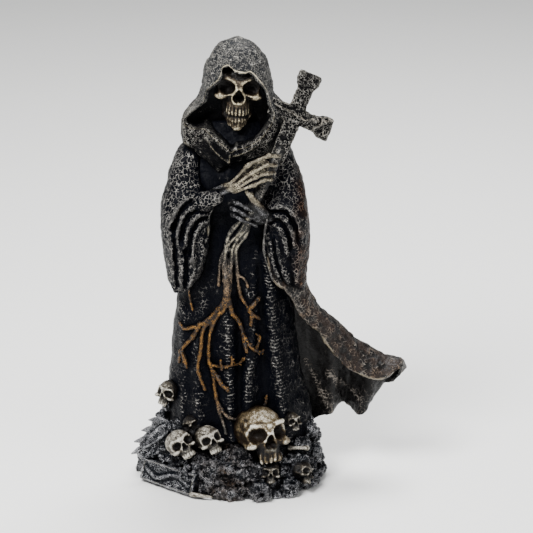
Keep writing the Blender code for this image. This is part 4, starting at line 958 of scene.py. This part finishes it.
# Painted highlight: what faces the front takes silver, and the front crest of the upper roots takes ivory
# lines.
mark(roots, "brush", root_brush + 0.75 * ramp(facing(roots), 0.5, 0.45))
mark(roots, "edge", 0.5 * root_height * ramp(facing(roots), 0.8, 0.15) * (root_points[:, 2] < 290))
mark(roots, "tint_and_painted_light", ramp(root_points[:, 2], 250, -60) * ramp(root_points[:, 2], 66, 30))
# Acrylic paint on cast resin, silver above and rust below, glossier than the robe, like damp bark.
root_paint = dry_brushed("bark_painted_resin", "#010000", "#050505", "#9a958b", "#cfc4a8", 1.2, 0.05,
                         silver=0.3, gloss=0.25, warm=("#120903", "#94692e"))
finish(roots, root_paint)

# The mound: a rough-sided heap of rubble that the figure stands on, flat underneath. Part of the casting,
# black under a rub of silver, with earthy brown in front.
BASE_WIDTH = 0.096
BASE_DEPTH = 0.072
BASE_HEIGHT = 0.016
RUBBLE_LUMPS = 34
FLOOR_GAP = 0.3
# Angle round the base in degrees, 0 at the front and positive to the viewer's right, and the reach there.
mound_outline = [(0, 84), (25, 90), (48, 93), (70, 95), (90, 94), (120, 84), (150, 70), (180, 66),
                 (-150, 72), (-120, 86), (-100, 95), (-85, 93), (-68, 84), (-48, 78), (-30, 80),
                 (-15, 84)]


def base_place(x, y, z):
    """A place on the mound, which follows the base's own sizes."""
    return np.array([x * BASE_WIDTH / STEP / 192, y * BASE_DEPTH / STEP / 150, z])


def rock(centre, size, seed):
    """A lump of rubble: a ball of 14 rings and 18 sides, pushed in and out by a few sine waves."""
    turn = np.linspace(0, 2 * math.pi, 18, endpoint=False)
    made = []
    for tilt in np.linspace(0.12, math.pi - 0.12, 14):
        rough = 1 + 0.16 * np.sin(3 * turn + seed) * math.sin(2 * tilt + seed)
        rough = rough + 0.08 * np.cos(5 * turn - 2 * seed)
        made.append(np.stack([size * rough * math.sin(tilt) * np.cos(turn),
                              size * rough * math.sin(tilt) * np.sin(turn),
                              0 * turn - 0.85 * size * math.cos(tilt)], axis=1) + centre)
    return skin(made)


def set_down(obj, lowest):
    """Presses flat what reaches below the lowest height, and returns the points, in steps."""
    points = steps_of(obj)
    points[:, 2] = np.maximum(points[:, 2], lowest)
    move_points(obj, points)
    return points


base_top = BASE_HEIGHT / STEP
base_turn = np.linspace(-180, 180, 144, endpoint=False)
base_reach = around(mound_outline, base_turn) / 95
mound_rings = []
for height, share in through([(0.8, 0.99), (6, 1.0), (0.5 * base_top, 0.985), (base_top, 0.93),
                              (1.3 * base_top, 0.8), (1.6 * base_top, 0.55), (1.7 * base_top, 0.2)], 40):
    uneven = 1 + 0.02 * np.sin(base_turn * 0.21 + height * 0.5)
    uneven = uneven + 0.018 * np.sin(base_turn * 0.47 - height * 0.3)
    swing = np.radians(base_turn)
    reach = 95 * share * base_reach * uneven
    mound_rings.append([base_place(r * math.sin(a), -r * math.cos(a), height)
                        for r, a in zip(reach, swing)])
mound_skins = [skin(mound_rings)]
for i in range(RUBBLE_LUMPS):
    angle = math.radians(i * 137.5)
    band = (i % 4) / 3
    reach = float(around(mound_outline, [math.degrees(angle)])[0]) * (0.97 - 0.24 * band)
    place = base_place(reach * math.sin(angle), -reach * math.cos(angle), base_top * (0.25 + 0.95 * band))
    mound_skins.append(rock(place, 10 + 3 * math.sin(1.7 * i) + 2 * band, 1.3 * i))
# Lumps of the two piles that rise beside the gown: place and size.
piles = [(-58, -8, 74, 10), (-62, 4, 60, 12), (-58, 12, 60, 13), (-67, -6, 46, 11), (-68, 10, 42, 13),
         (-74, 2, 28, 12), (-50, -28, 58, 11), (-58, -28, 34, 12), (84, -14, 18, 11), (82, -24, 30, 11),
         (83, -12, 42, 9), (80, -22, 52, 8), (70, -36, 42, 12), (74, -10, 58, 10), (66, -50, 30, 12)]
for i, (*place, size) in enumerate(piles):
    mound_skins.append(rock(base_place(*place), size, 0.9 * i))
mound = melted("mound", 0.62, 1, *mound_skins)
tool_surface(mound, (8, 2.2, 20), (4, 1.6, 21), (2.6, 0.9, 22), crags=True)
mound_points = set_down(mound, FLOOR_GAP)
coral = hill(mound_points[:, 0], -8, 24) * ramp(mound_points[:, 1], -30, -20)
mark(mound, "brush", 0.34 * np.clip(grain(mound_points, 13, 42) + 0.4, 0, 1) + 0.42 * coral)
earthy = np.clip(grain(mound_points, 9, 23) + 0.6, 0, 1)
mark(mound, "tint_and_painted_light", hill(mound_points[:, 0], -5, 30) * ramp(mound_points[:, 1], -30, -20) * earthy)
# Silver rubbed over blue-black on craggy cast resin: bright grit on deep holes, like slag.
mound_paint = dry_brushed("rubble_painted_resin", "#000001", "#05080e", "#c6c6c9", "#b8b2a4", 1.0, 0.14,
                          1.2, 0.3,
                          silver=0.5, gloss=0.12, warm=("#070403", "#675341"))
finish(mound, mound_paint)

# The small skulls: bare skulls half sunk in the mound's rubble, each turned its own way. Cast with it; pale
# bone paint with a brown wash.
# Place, cranium radius, then yaw, pitch and roll in degrees.
small_skulls = [((-50, -56, 50), 14.5, 12, -26, -28), ((-22, -58, 56), 13.5, 22, -22, -15),
                ((-61, -20, 93), 12.0, -36, -14, 6), ((40, -74, 28), 10.0, 4, -10, 0),
                ((62, -48, 72), 8.5, 30, -16, 0), ((72, -60, 22), 10.5, 60, -10, 30),
                ((-38, -42, 66), 10.0, -10, -10, -20), ((-46, 48, 46), 15.0, 215, -8, 8),
                ((34, 58, 38), 13.0, 168, -6, -12)]
# How much of the brown wash each kept, in the same order.
skull_age = [0, 0.1, 0.3, 0.85, 0.9, 0.9, 1.1, 0.4, 0.4]
skull_skins, skull_pits = [], []
for place, radius, yaw, pitch, roll in small_skulls:
    made, pit, _ = skull(base_place(*place), radius, yaw, pitch, roll, False, 6, 56, 68)
    skull_skins.append(made)
    skull_pits.append(pit)
skulls = casting("small_skulls", *skull_skins)
tool_surface(skulls, (3, 0.4, 24), (6, 0.5, 25))
mark(skulls, "edge", np.concatenate(skull_pits))
mark(skulls, "tint_and_painted_light", np.repeat(skull_age, [len(pit) for pit in skull_pits]))
# Greyer bone acrylic under a thin brown wash: weathered bone.
skull_paint = washed_bone("aged_bone_resin", "#b8b3a7", "#423c33", "#080605", "#000001", load=-0.14)
finish(skulls, skull_paint)

# The great skull: the big bare skull in front of the mound, turned to the right, its upper teeth on the
# rubble. Pale on the brow, ochre where the wash gathered.
GREAT_RADIUS = 25.5
great_middle = base_place(30, -56, 63)
great_skin, great_pit, great_back = skull(great_middle, GREAT_RADIUS, 25, -15, -1, False, 6, 130, 150)
great = casting("great_skull", great_skin)
tool_surface(great, (4, 0.35, 26), (9, 0.5, 27), (2, 0.15, 28))
mark(great, "edge", great_pit)
great_points = steps_of(great)
great_patches = np.clip(1.8 * grain(great_points, 4, 50) + 0.15, 0, 1) * (great_points[:, 2] < 80)
mark(great, "tint_and_painted_light", 0.6 * great_back + 0.7 * ramp(great_points[:, 2], 70, -5) + 1.1 * great_patches)
# Bone acrylic under an uneven ochre wash, rubbed off the brow: it looks polished above and stained below.
great_paint = washed_bone("brown_washed_bone_resin", "#d6d1c2", "#665840", "#140d06", "#010205", load=-0.03)
finish(great, great_paint)

# The leaf: a fan of pointed leaf lobes with a midrib that stands out of the rubble on the left. Cast with
# the mound and painted as the rubble is.
leaf_tips = [(-83, -10, 59), (-90, -14, 49), (-97, -17, 38), (-100, -20, 26), (-88, -26, 20)]
leaf_skins = [
    limb([base_place(-54, -22, 62), base_place(-70, -24, 46), base_place(-88, -24, 26)],
         [4, 10, 5], 24, 50, 0.35),
    limb([base_place(-54, -25, 63), base_place(-71, -28, 46), base_place(-94, -25, 30)],
         [1.6, 1.6, 0.8], 10, 50)]
for i, tip in enumerate(leaf_tips):
    leaf_root = (-60 - 4 * i, -22 - i, 56 - 7 * i)
    bend = np.array(leaf_root) * 0.4 + np.array(tip) * 0.6 + (0, 0, 2)
    lobe = [base_place(*leaf_root), base_place(*bend), base_place(*tip)]
    leaf_skins.append(limb(lobe, [6, 4.5, 0.7], 20, 40, 0.4))
leaf = casting("leaf", *leaf_skins)
tool_surface(leaf, (3, 0.3, 29), (6, 0.5, 30))
# Painted light: what faces the front takes more silver.
mark(leaf, "brush", 0.15 + 0.35 * np.clip(facing(leaf), 0, 1))
finish(leaf, mound_paint)

# The plaque: a stone slab that leans on the mound's left front, with a raised scroll in a border. Cast in
# place; dark stone paint, rubbed with grey.
PLAQUE_HEIGHT = 0.0115
PLAQUE_THICKNESS = 0.0045
slab_start, slab_end = base_place(-87, -25, 12), base_place(-34, -74, 12)
slab_along = Vector(slab_end - slab_start)
slab_length = slab_along.length
slab_along.normalize()
slab_lean = math.radians(20)
slab_out = Vector((slab_along.y, -slab_along.x, 0)) * math.cos(slab_lean)
slab_out += Vector((0, 0, math.sin(slab_lean)))
slab_up = np.array(slab_out.cross(slab_along))
slab_out, slab_along = np.array(slab_out), np.array(slab_along)
slab_middle, slab_half = (slab_start + slab_end) / 2, slab_length / 2
slab_high, slab_thick = PLAQUE_HEIGHT / STEP / 2, PLAQUE_THICKNESS / STEP / 2


def on_slab(share, rise):
    """A place on the slab's face: a share of its length from the middle and steps up from it."""
    return slab_middle + slab_along * share * slab_length + slab_up * rise + slab_out * slab_thick


plaque_skins = [squared_bar(
    slab_middle, slab_along, slab_up, slab_out,
    [(-slab_half, 0.75), (2 - slab_half, 0.95), (0, 1.0), (slab_half - 2, 1.0), (slab_half, 0.9)],
    slab_high, slab_thick, 70)]
scroll = [on_slab(share, 4 * math.sin(9 * share)) for share in np.linspace(-0.42, 0.42, 9)]
plaque_skins.append(limb(scroll, [1.2, 2.4, 3.0, 3.2, 3.2, 3.2, 3.0, 2.4, 1.2], 12, 70))
for middle_share, side in ((-0.3, -1), (-0.08, 1), (0.14, -1), (0.34, 1)):
    curl = [on_slab(middle_share + 0.055 * math.cos(a) * (1 - a / 9),
                    side * -4 + 4.2 * math.sin(a) * (1 - a / 9))
            for a in np.linspace(0, 6, 12)]
    plaque_skins.append(limb(curl, [1.5] * 11 + [0.8], 8, 50))
for rise in (-0.82, 0.82):
    border = [on_slab(share, rise * slab_high) for share in (-0.45, -0.15, 0.15, 0.45)]
    plaque_skins.append(limb(border, [1.3, 1.5, 1.5, 1.3], 8, 40))
plaque = melted("plaque", 0.34, 2, *plaque_skins)
tool_surface(plaque, (4, 0.5, 31), (2, 0.25, 32))
plaque_offset = set_down(plaque, FLOOR_GAP) - slab_middle
slab_x, slab_z = plaque_offset @ slab_along, plaque_offset @ slab_up
on_face = np.clip(plaque_offset @ slab_out - slab_thick + 1.5, 0, 1)
to_border = np.maximum(np.abs(slab_x) - slab_half + slab_high, np.abs(slab_z)) / slab_high
frame_line = hill(to_border, 0.82, 0.08)
scroll_course = [(share * slab_length, 4 * math.sin(9 * share)) for share in np.linspace(-0.42, 0.42, 9)]
scroll_distance = stroke_distance(slab_x, slab_z, scroll_course)
scroll_line = hill(scroll_distance, 3.2, 1.1)
mark(plaque, "brush", 0.4 - 1.6 * on_face * scroll_line)
mark(plaque, "edge", 0.42 * on_face * frame_line)
finish(plaque, mound_paint)

# Loose bones in the heap: a thigh bone at the right and a small bone tip in front. Cast with the mound and
# painted as the small skulls are.
bones = casting(
    "bones",
    limb([base_place(60, -52, 44), base_place(64, -54, 45), base_place(73, -54, 45),
          base_place(77, -52, 44)],
         [2.8, 1.8, 1.8, 2.8], 14, 40),
    limb([base_place(-38, -80, 5), base_place(-28, -84, 5), base_place(-18, -85, 4)],
         [2.6, 2.0, 1.2], 12, 30))
tool_surface(bones, (3, 0.3, 33))
mark(bones, "tint_and_painted_light", 0.7)
finish(bones, skull_paint)

# The crumbs: grit and small lumps scattered over the mound before it was cast, thickest in front. One mesh,
# made by Geometry Nodes from a rough pebble of a few dozen faces.
CRUMB_SIZE = 0.0011
CRUMB_SPACING = 0.0020
CRUMB_SEED = 5
crumb_tree = bpy.data.node_groups.new("crumbs", "GeometryNodeTree")
crumb_tree.interface.new_socket("Ground", in_out="INPUT", socket_type="NodeSocketGeometry")
for socket_name, socket_kind, value in (
        ("Spacing", "NodeSocketFloat", CRUMB_SPACING), ("Size", "NodeSocketFloat", CRUMB_SIZE),
        ("Seed", "NodeSocketInt", CRUMB_SEED)):
    socket = crumb_tree.interface.new_socket(socket_name, in_out="INPUT", socket_type=socket_kind)
    socket.default_value = value
crumb_tree.interface.new_socket("Crumbs", in_out="OUTPUT", socket_type="NodeSocketGeometry")
crumb_in = add(crumb_tree, "NodeGroupInput")
grit = add(crumb_tree, "GeometryNodeInputNamedAttribute", {"Name": "grit"}).outputs[0]
scatter = add(crumb_tree, "GeometryNodeDistributePointsOnFaces",
              {"Mesh": crumb_in.outputs["Ground"], "Distance Min": crumb_in.outputs["Spacing"],
               "Density Max": 400000.0, "Density Factor": grit, "Seed": crumb_in.outputs["Seed"]},
              distribute_method="POISSON")
placed = scatter.outputs["Points"]
pebble = add(crumb_tree, "GeometryNodeMeshUVSphere",
             {"Radius": crumb_in.outputs["Size"], "Segments": 7, "Rings": 5})
rough = add(crumb_tree, "ShaderNodeTexNoise", {"Scale": 900.0, "Detail": 1.0})
dents = add(crumb_tree, "ShaderNodeVectorMath",
            {0: rough.outputs["Color"], 1: (0.5, 0.5, 0.5)}, operation="SUBTRACT")
dent = add(crumb_tree, "ShaderNodeVectorMath",
           {0: dents.outputs[0], "Scale": CRUMB_SIZE * 1.6}, operation="SCALE")
chipped = add(crumb_tree, "GeometryNodeSetPosition",
              {"Geometry": pebble.outputs["Mesh"], "Offset": dent.outputs[0]})
spin = add(crumb_tree, "FunctionNodeRandomValue",
           {"Min": (0.0, 0.0, 0.0), "Max": (6.3, 6.3, 6.3), "Seed": 3}, data_type="FLOAT_VECTOR")
span = add(crumb_tree, "FunctionNodeRandomValue", {2: 0.4, 3: 1.15, "Seed": 4}, data_type="FLOAT")
strewn = add(crumb_tree, "GeometryNodeInstanceOnPoints",
             {"Points": placed, "Instance": chipped.outputs["Geometry"], "Rotation": spin.outputs[0],
              "Scale": span.outputs[1]})
real = add(crumb_tree, "GeometryNodeRealizeInstances", {"Geometry": strewn.outputs["Instances"]})
painted = add(crumb_tree, "GeometryNodeSetMaterial",
              {"Geometry": real.outputs["Geometry"], "Material": mound_paint})
add(crumb_tree, "NodeGroupOutput", {"Crumbs": painted.outputs["Geometry"]})

# Grit lies where the mound shows: outside the gown, thickest at the front and between the skulls.
in_front = np.clip((-20 - mound_points[:, 1]) / 40, 0.25, 1)
off_the_floor = (mound_points[:, 2] > 5) * (mound_points[:, 2] < 88)
mark(mound, "grit", in_front * (normals_of(mound)[:, 2] > -0.2) * off_the_floor)
crumbs = bpy.data.objects.new("crumbs", mound.data.copy())
bpy.context.scene.collection.objects.link(crumbs)
strew = crumbs.modifiers.new("strew", "NODES")
strew.node_group = crumb_tree
inputs = {item.name: item.identifier for item in crumb_tree.interface.items_tree if item.in_out == "INPUT"}
strew[inputs["Spacing"]] = CRUMB_SPACING
strew[inputs["Size"]] = CRUMB_SIZE
strew[inputs["Seed"]] = CRUMB_SEED
crumb_mesh = bpy.data.meshes.new_from_object(crumbs.evaluated_get(bpy.context.evaluated_depsgraph_get()))
crumbs.modifiers.clear()
crumbs.data = crumb_mesh
crumb_points = set_down(crumbs, FLOOR_GAP + 0.1)
mark(crumbs, "brush", 0.1 + 0.75 * grain(crumb_points, 3, 43))
mark(crumbs, "tint_and_painted_light", 0.6 * hill(crumb_points[:, 0], -5, 26) * ramp(crumb_points[:, 1], -36, -16))
finish(crumbs, mound_paint)

# Washes and painted shade: thin dark paint was brushed over the whole casting and wiped, so it stayed
# wherever a hollow held it, and the same mark paints the shade that falls in hollows and between pieces. The
# statue is read as a grid of filled cells, and each point learns how boxed in it is.
CELL = 0.0006
grid_low = np.array(cad_box[0]) - 14 * CELL
grid_size = np.ceil((np.array(cad_box[1]) + 14 * CELL - grid_low) / CELL).astype(int)
filled = np.zeros(grid_size, np.float32)
levels = grid_low[2] + (np.arange(grid_size[2]) + 0.5) * CELL
upwards = Vector((0, 0, 1))
for piece in pieces:
    if piece is crumbs:
        continue
    surface = BVHTree.FromObject(piece, bpy.context.evaluated_depsgraph_get())
    corners = steps_of(piece) * STEP
    first = np.floor((corners.min(axis=0) - grid_low) / CELL).astype(int)
    last = np.ceil((corners.max(axis=0) - grid_low) / CELL).astype(int)
    for i in range(first[0], last[0]):
        x = grid_low[0] + (i + 0.5) * CELL
        for j in range(first[1], last[1]):
            y = grid_low[1] + (j + 0.5) * CELL
            height, inside, entered = -0.01, 0, 0.0
            while True:
                hit, normal, _, _ = surface.ray_cast(Vector((x, y, height)), upwards)
                if hit is None:
                    break
                if normal.z < 0:
                    entered = hit.z if inside == 0 else entered
                    inside += 1
                elif inside > 0:
                    inside -= 1
                    if inside == 0:
                        filled[i, j, np.searchsorted(levels, entered):np.searchsorted(levels, hit.z)] = 1
                height = hit.z + 2e-6


def blurred(grid, radius):
    """The grid averaged over a soft ball, by three box blurs along each axis."""
    reach = max(int(round(radius / CELL)), 1)
    for axis in range(3):
        for _ in range(3):
            sums = np.cumsum(grid, axis=axis, dtype=np.float32)
            wide = np.concatenate([np.zeros_like(grid.take([0], axis)), sums], axis=axis)
            count = grid.shape[axis]
            high = np.minimum(np.arange(count) + reach + 1, count)
            low = np.maximum(np.arange(count) - reach, 0)
            grid = (wide.take(high, axis) - wide.take(low, axis)) / (2 * reach + 1)
    return grid


def read_grid(grid, points):
    """The grid's value at each point, blended between cells."""
    place = (points - grid_low) / CELL - 0.5
    cell = np.clip(np.floor(place).astype(int), 0, grid_size - 2)
    part = np.clip(place - cell, 0, 1)
    total = np.zeros(len(points))
    for corner in range(8):
        offset = np.array([corner & 1, corner >> 1 & 1, corner >> 2 & 1])
        share = np.prod(np.where(offset == 1, part, 1 - part), axis=1)
        index = cell + offset
        total += share * grid[index[:, 0], index[:, 1], index[:, 2]]
    return total


# A point on a flat face, read half a blur radius out, has this share filled.
FLAT_SHARE = 0.31
for piece in pieces:
    mark(piece, "wash_and_shade", 0)
    mark(piece, "proud", 0)
for reach, weight, pride in ((0.0006, 0.40, 0.5), (0.0013, 0.5, 0.4), (0.0028, 0.6, 0.25)):
    soft = blurred(filled, reach)
    for piece in pieces:
        count = len(piece.data.vertices)
        share = read_grid(soft, steps_of(piece) * STEP + normals_of(piece) * reach * 0.9)
        for name, scale, gain in (("wash_and_shade", 0.35, weight), ("proud", -0.2, pride)):
            before = np.empty(count, np.float32)
            piece.data.attributes[name].data.foreach_get("value", before)
            mark(piece, name, before + gain * ramp(share, FLAT_SHARE, scale))

# The photographer's set: a pale paper floor, a key light from the front left, a weak fill from the right, a
# light from above and behind, and a camera with a long lens that looks down at 18 degrees.
floor_mesh = bpy.data.meshes.new("floor")
FLOOR_REACH = 6.0
floor_corners = [(x * FLOOR_REACH, y * FLOOR_REACH, 0) for x, y in ((-1, -1), (1, -1), (1, 1), (-1, 1))]
floor_mesh.from_pydata(floor_corners, [], [(0, 1, 2, 3)])
floor = bpy.data.objects.new("floor", floor_mesh)
bpy.context.scene.collection.objects.link(floor)
floor_paint = bpy.data.materials.new("pale_paper")
floor_paint.use_nodes = True
paper = floor_paint.node_tree.nodes["Principled BSDF"]
paper.inputs["Base Color"].default_value = linear("#f2f2f0")
paper.inputs["Roughness"].default_value = 0.9
floor.data.materials.append(floor_paint)

world = bpy.data.worlds.new("studio")
bpy.context.scene.world = world
world.use_nodes = True
world.node_tree.nodes["Background"].inputs["Color"].default_value = linear("#f4f5f7")
world.node_tree.nodes["Background"].inputs["Strength"].default_value = 0.30

statue_middle = Vector((0.01825, 0.0, 0.1096))
# Each light: name, azimuth and elevation in degrees, distance, size and power.
for name, azimuth, elevation, distance, size, power in (
        ("key", -32, 48, 0.9, 0.35, 17.0), ("fill", 48, 28, 1.1, 0.5, 3.5),
        ("top", 160, 62, 0.9, 0.5, 15.0)):
    lamp = bpy.data.lights.new(name, "AREA")
    lamp.energy = power
    lamp.size = size
    light = bpy.data.objects.new(name, lamp)
    swing, rise = math.radians(azimuth), math.radians(elevation)
    away = Vector((math.sin(swing) * math.cos(rise), -math.cos(swing) * math.cos(rise), math.sin(rise)))
    light.location = statue_middle + away * distance
    light.rotation_euler = away.to_track_quat("Z", "Y").to_euler()
    bpy.context.scene.collection.objects.link(light)

CAMERA_ELEVATION = math.radians(18)
CAMERA_DISTANCE = 1.6
camera_data = bpy.data.cameras.new("camera")
camera_data.sensor_width = 36
camera_data.lens = 216
camera = bpy.data.objects.new("camera", camera_data)
camera_away = Vector((0, -math.cos(CAMERA_ELEVATION), math.sin(CAMERA_ELEVATION)))
camera.location = statue_middle + camera_away * CAMERA_DISTANCE
camera.rotation_euler = camera_away.to_track_quat("Z", "Y").to_euler()
bpy.context.scene.collection.objects.link(camera)
bpy.context.scene.camera = camera
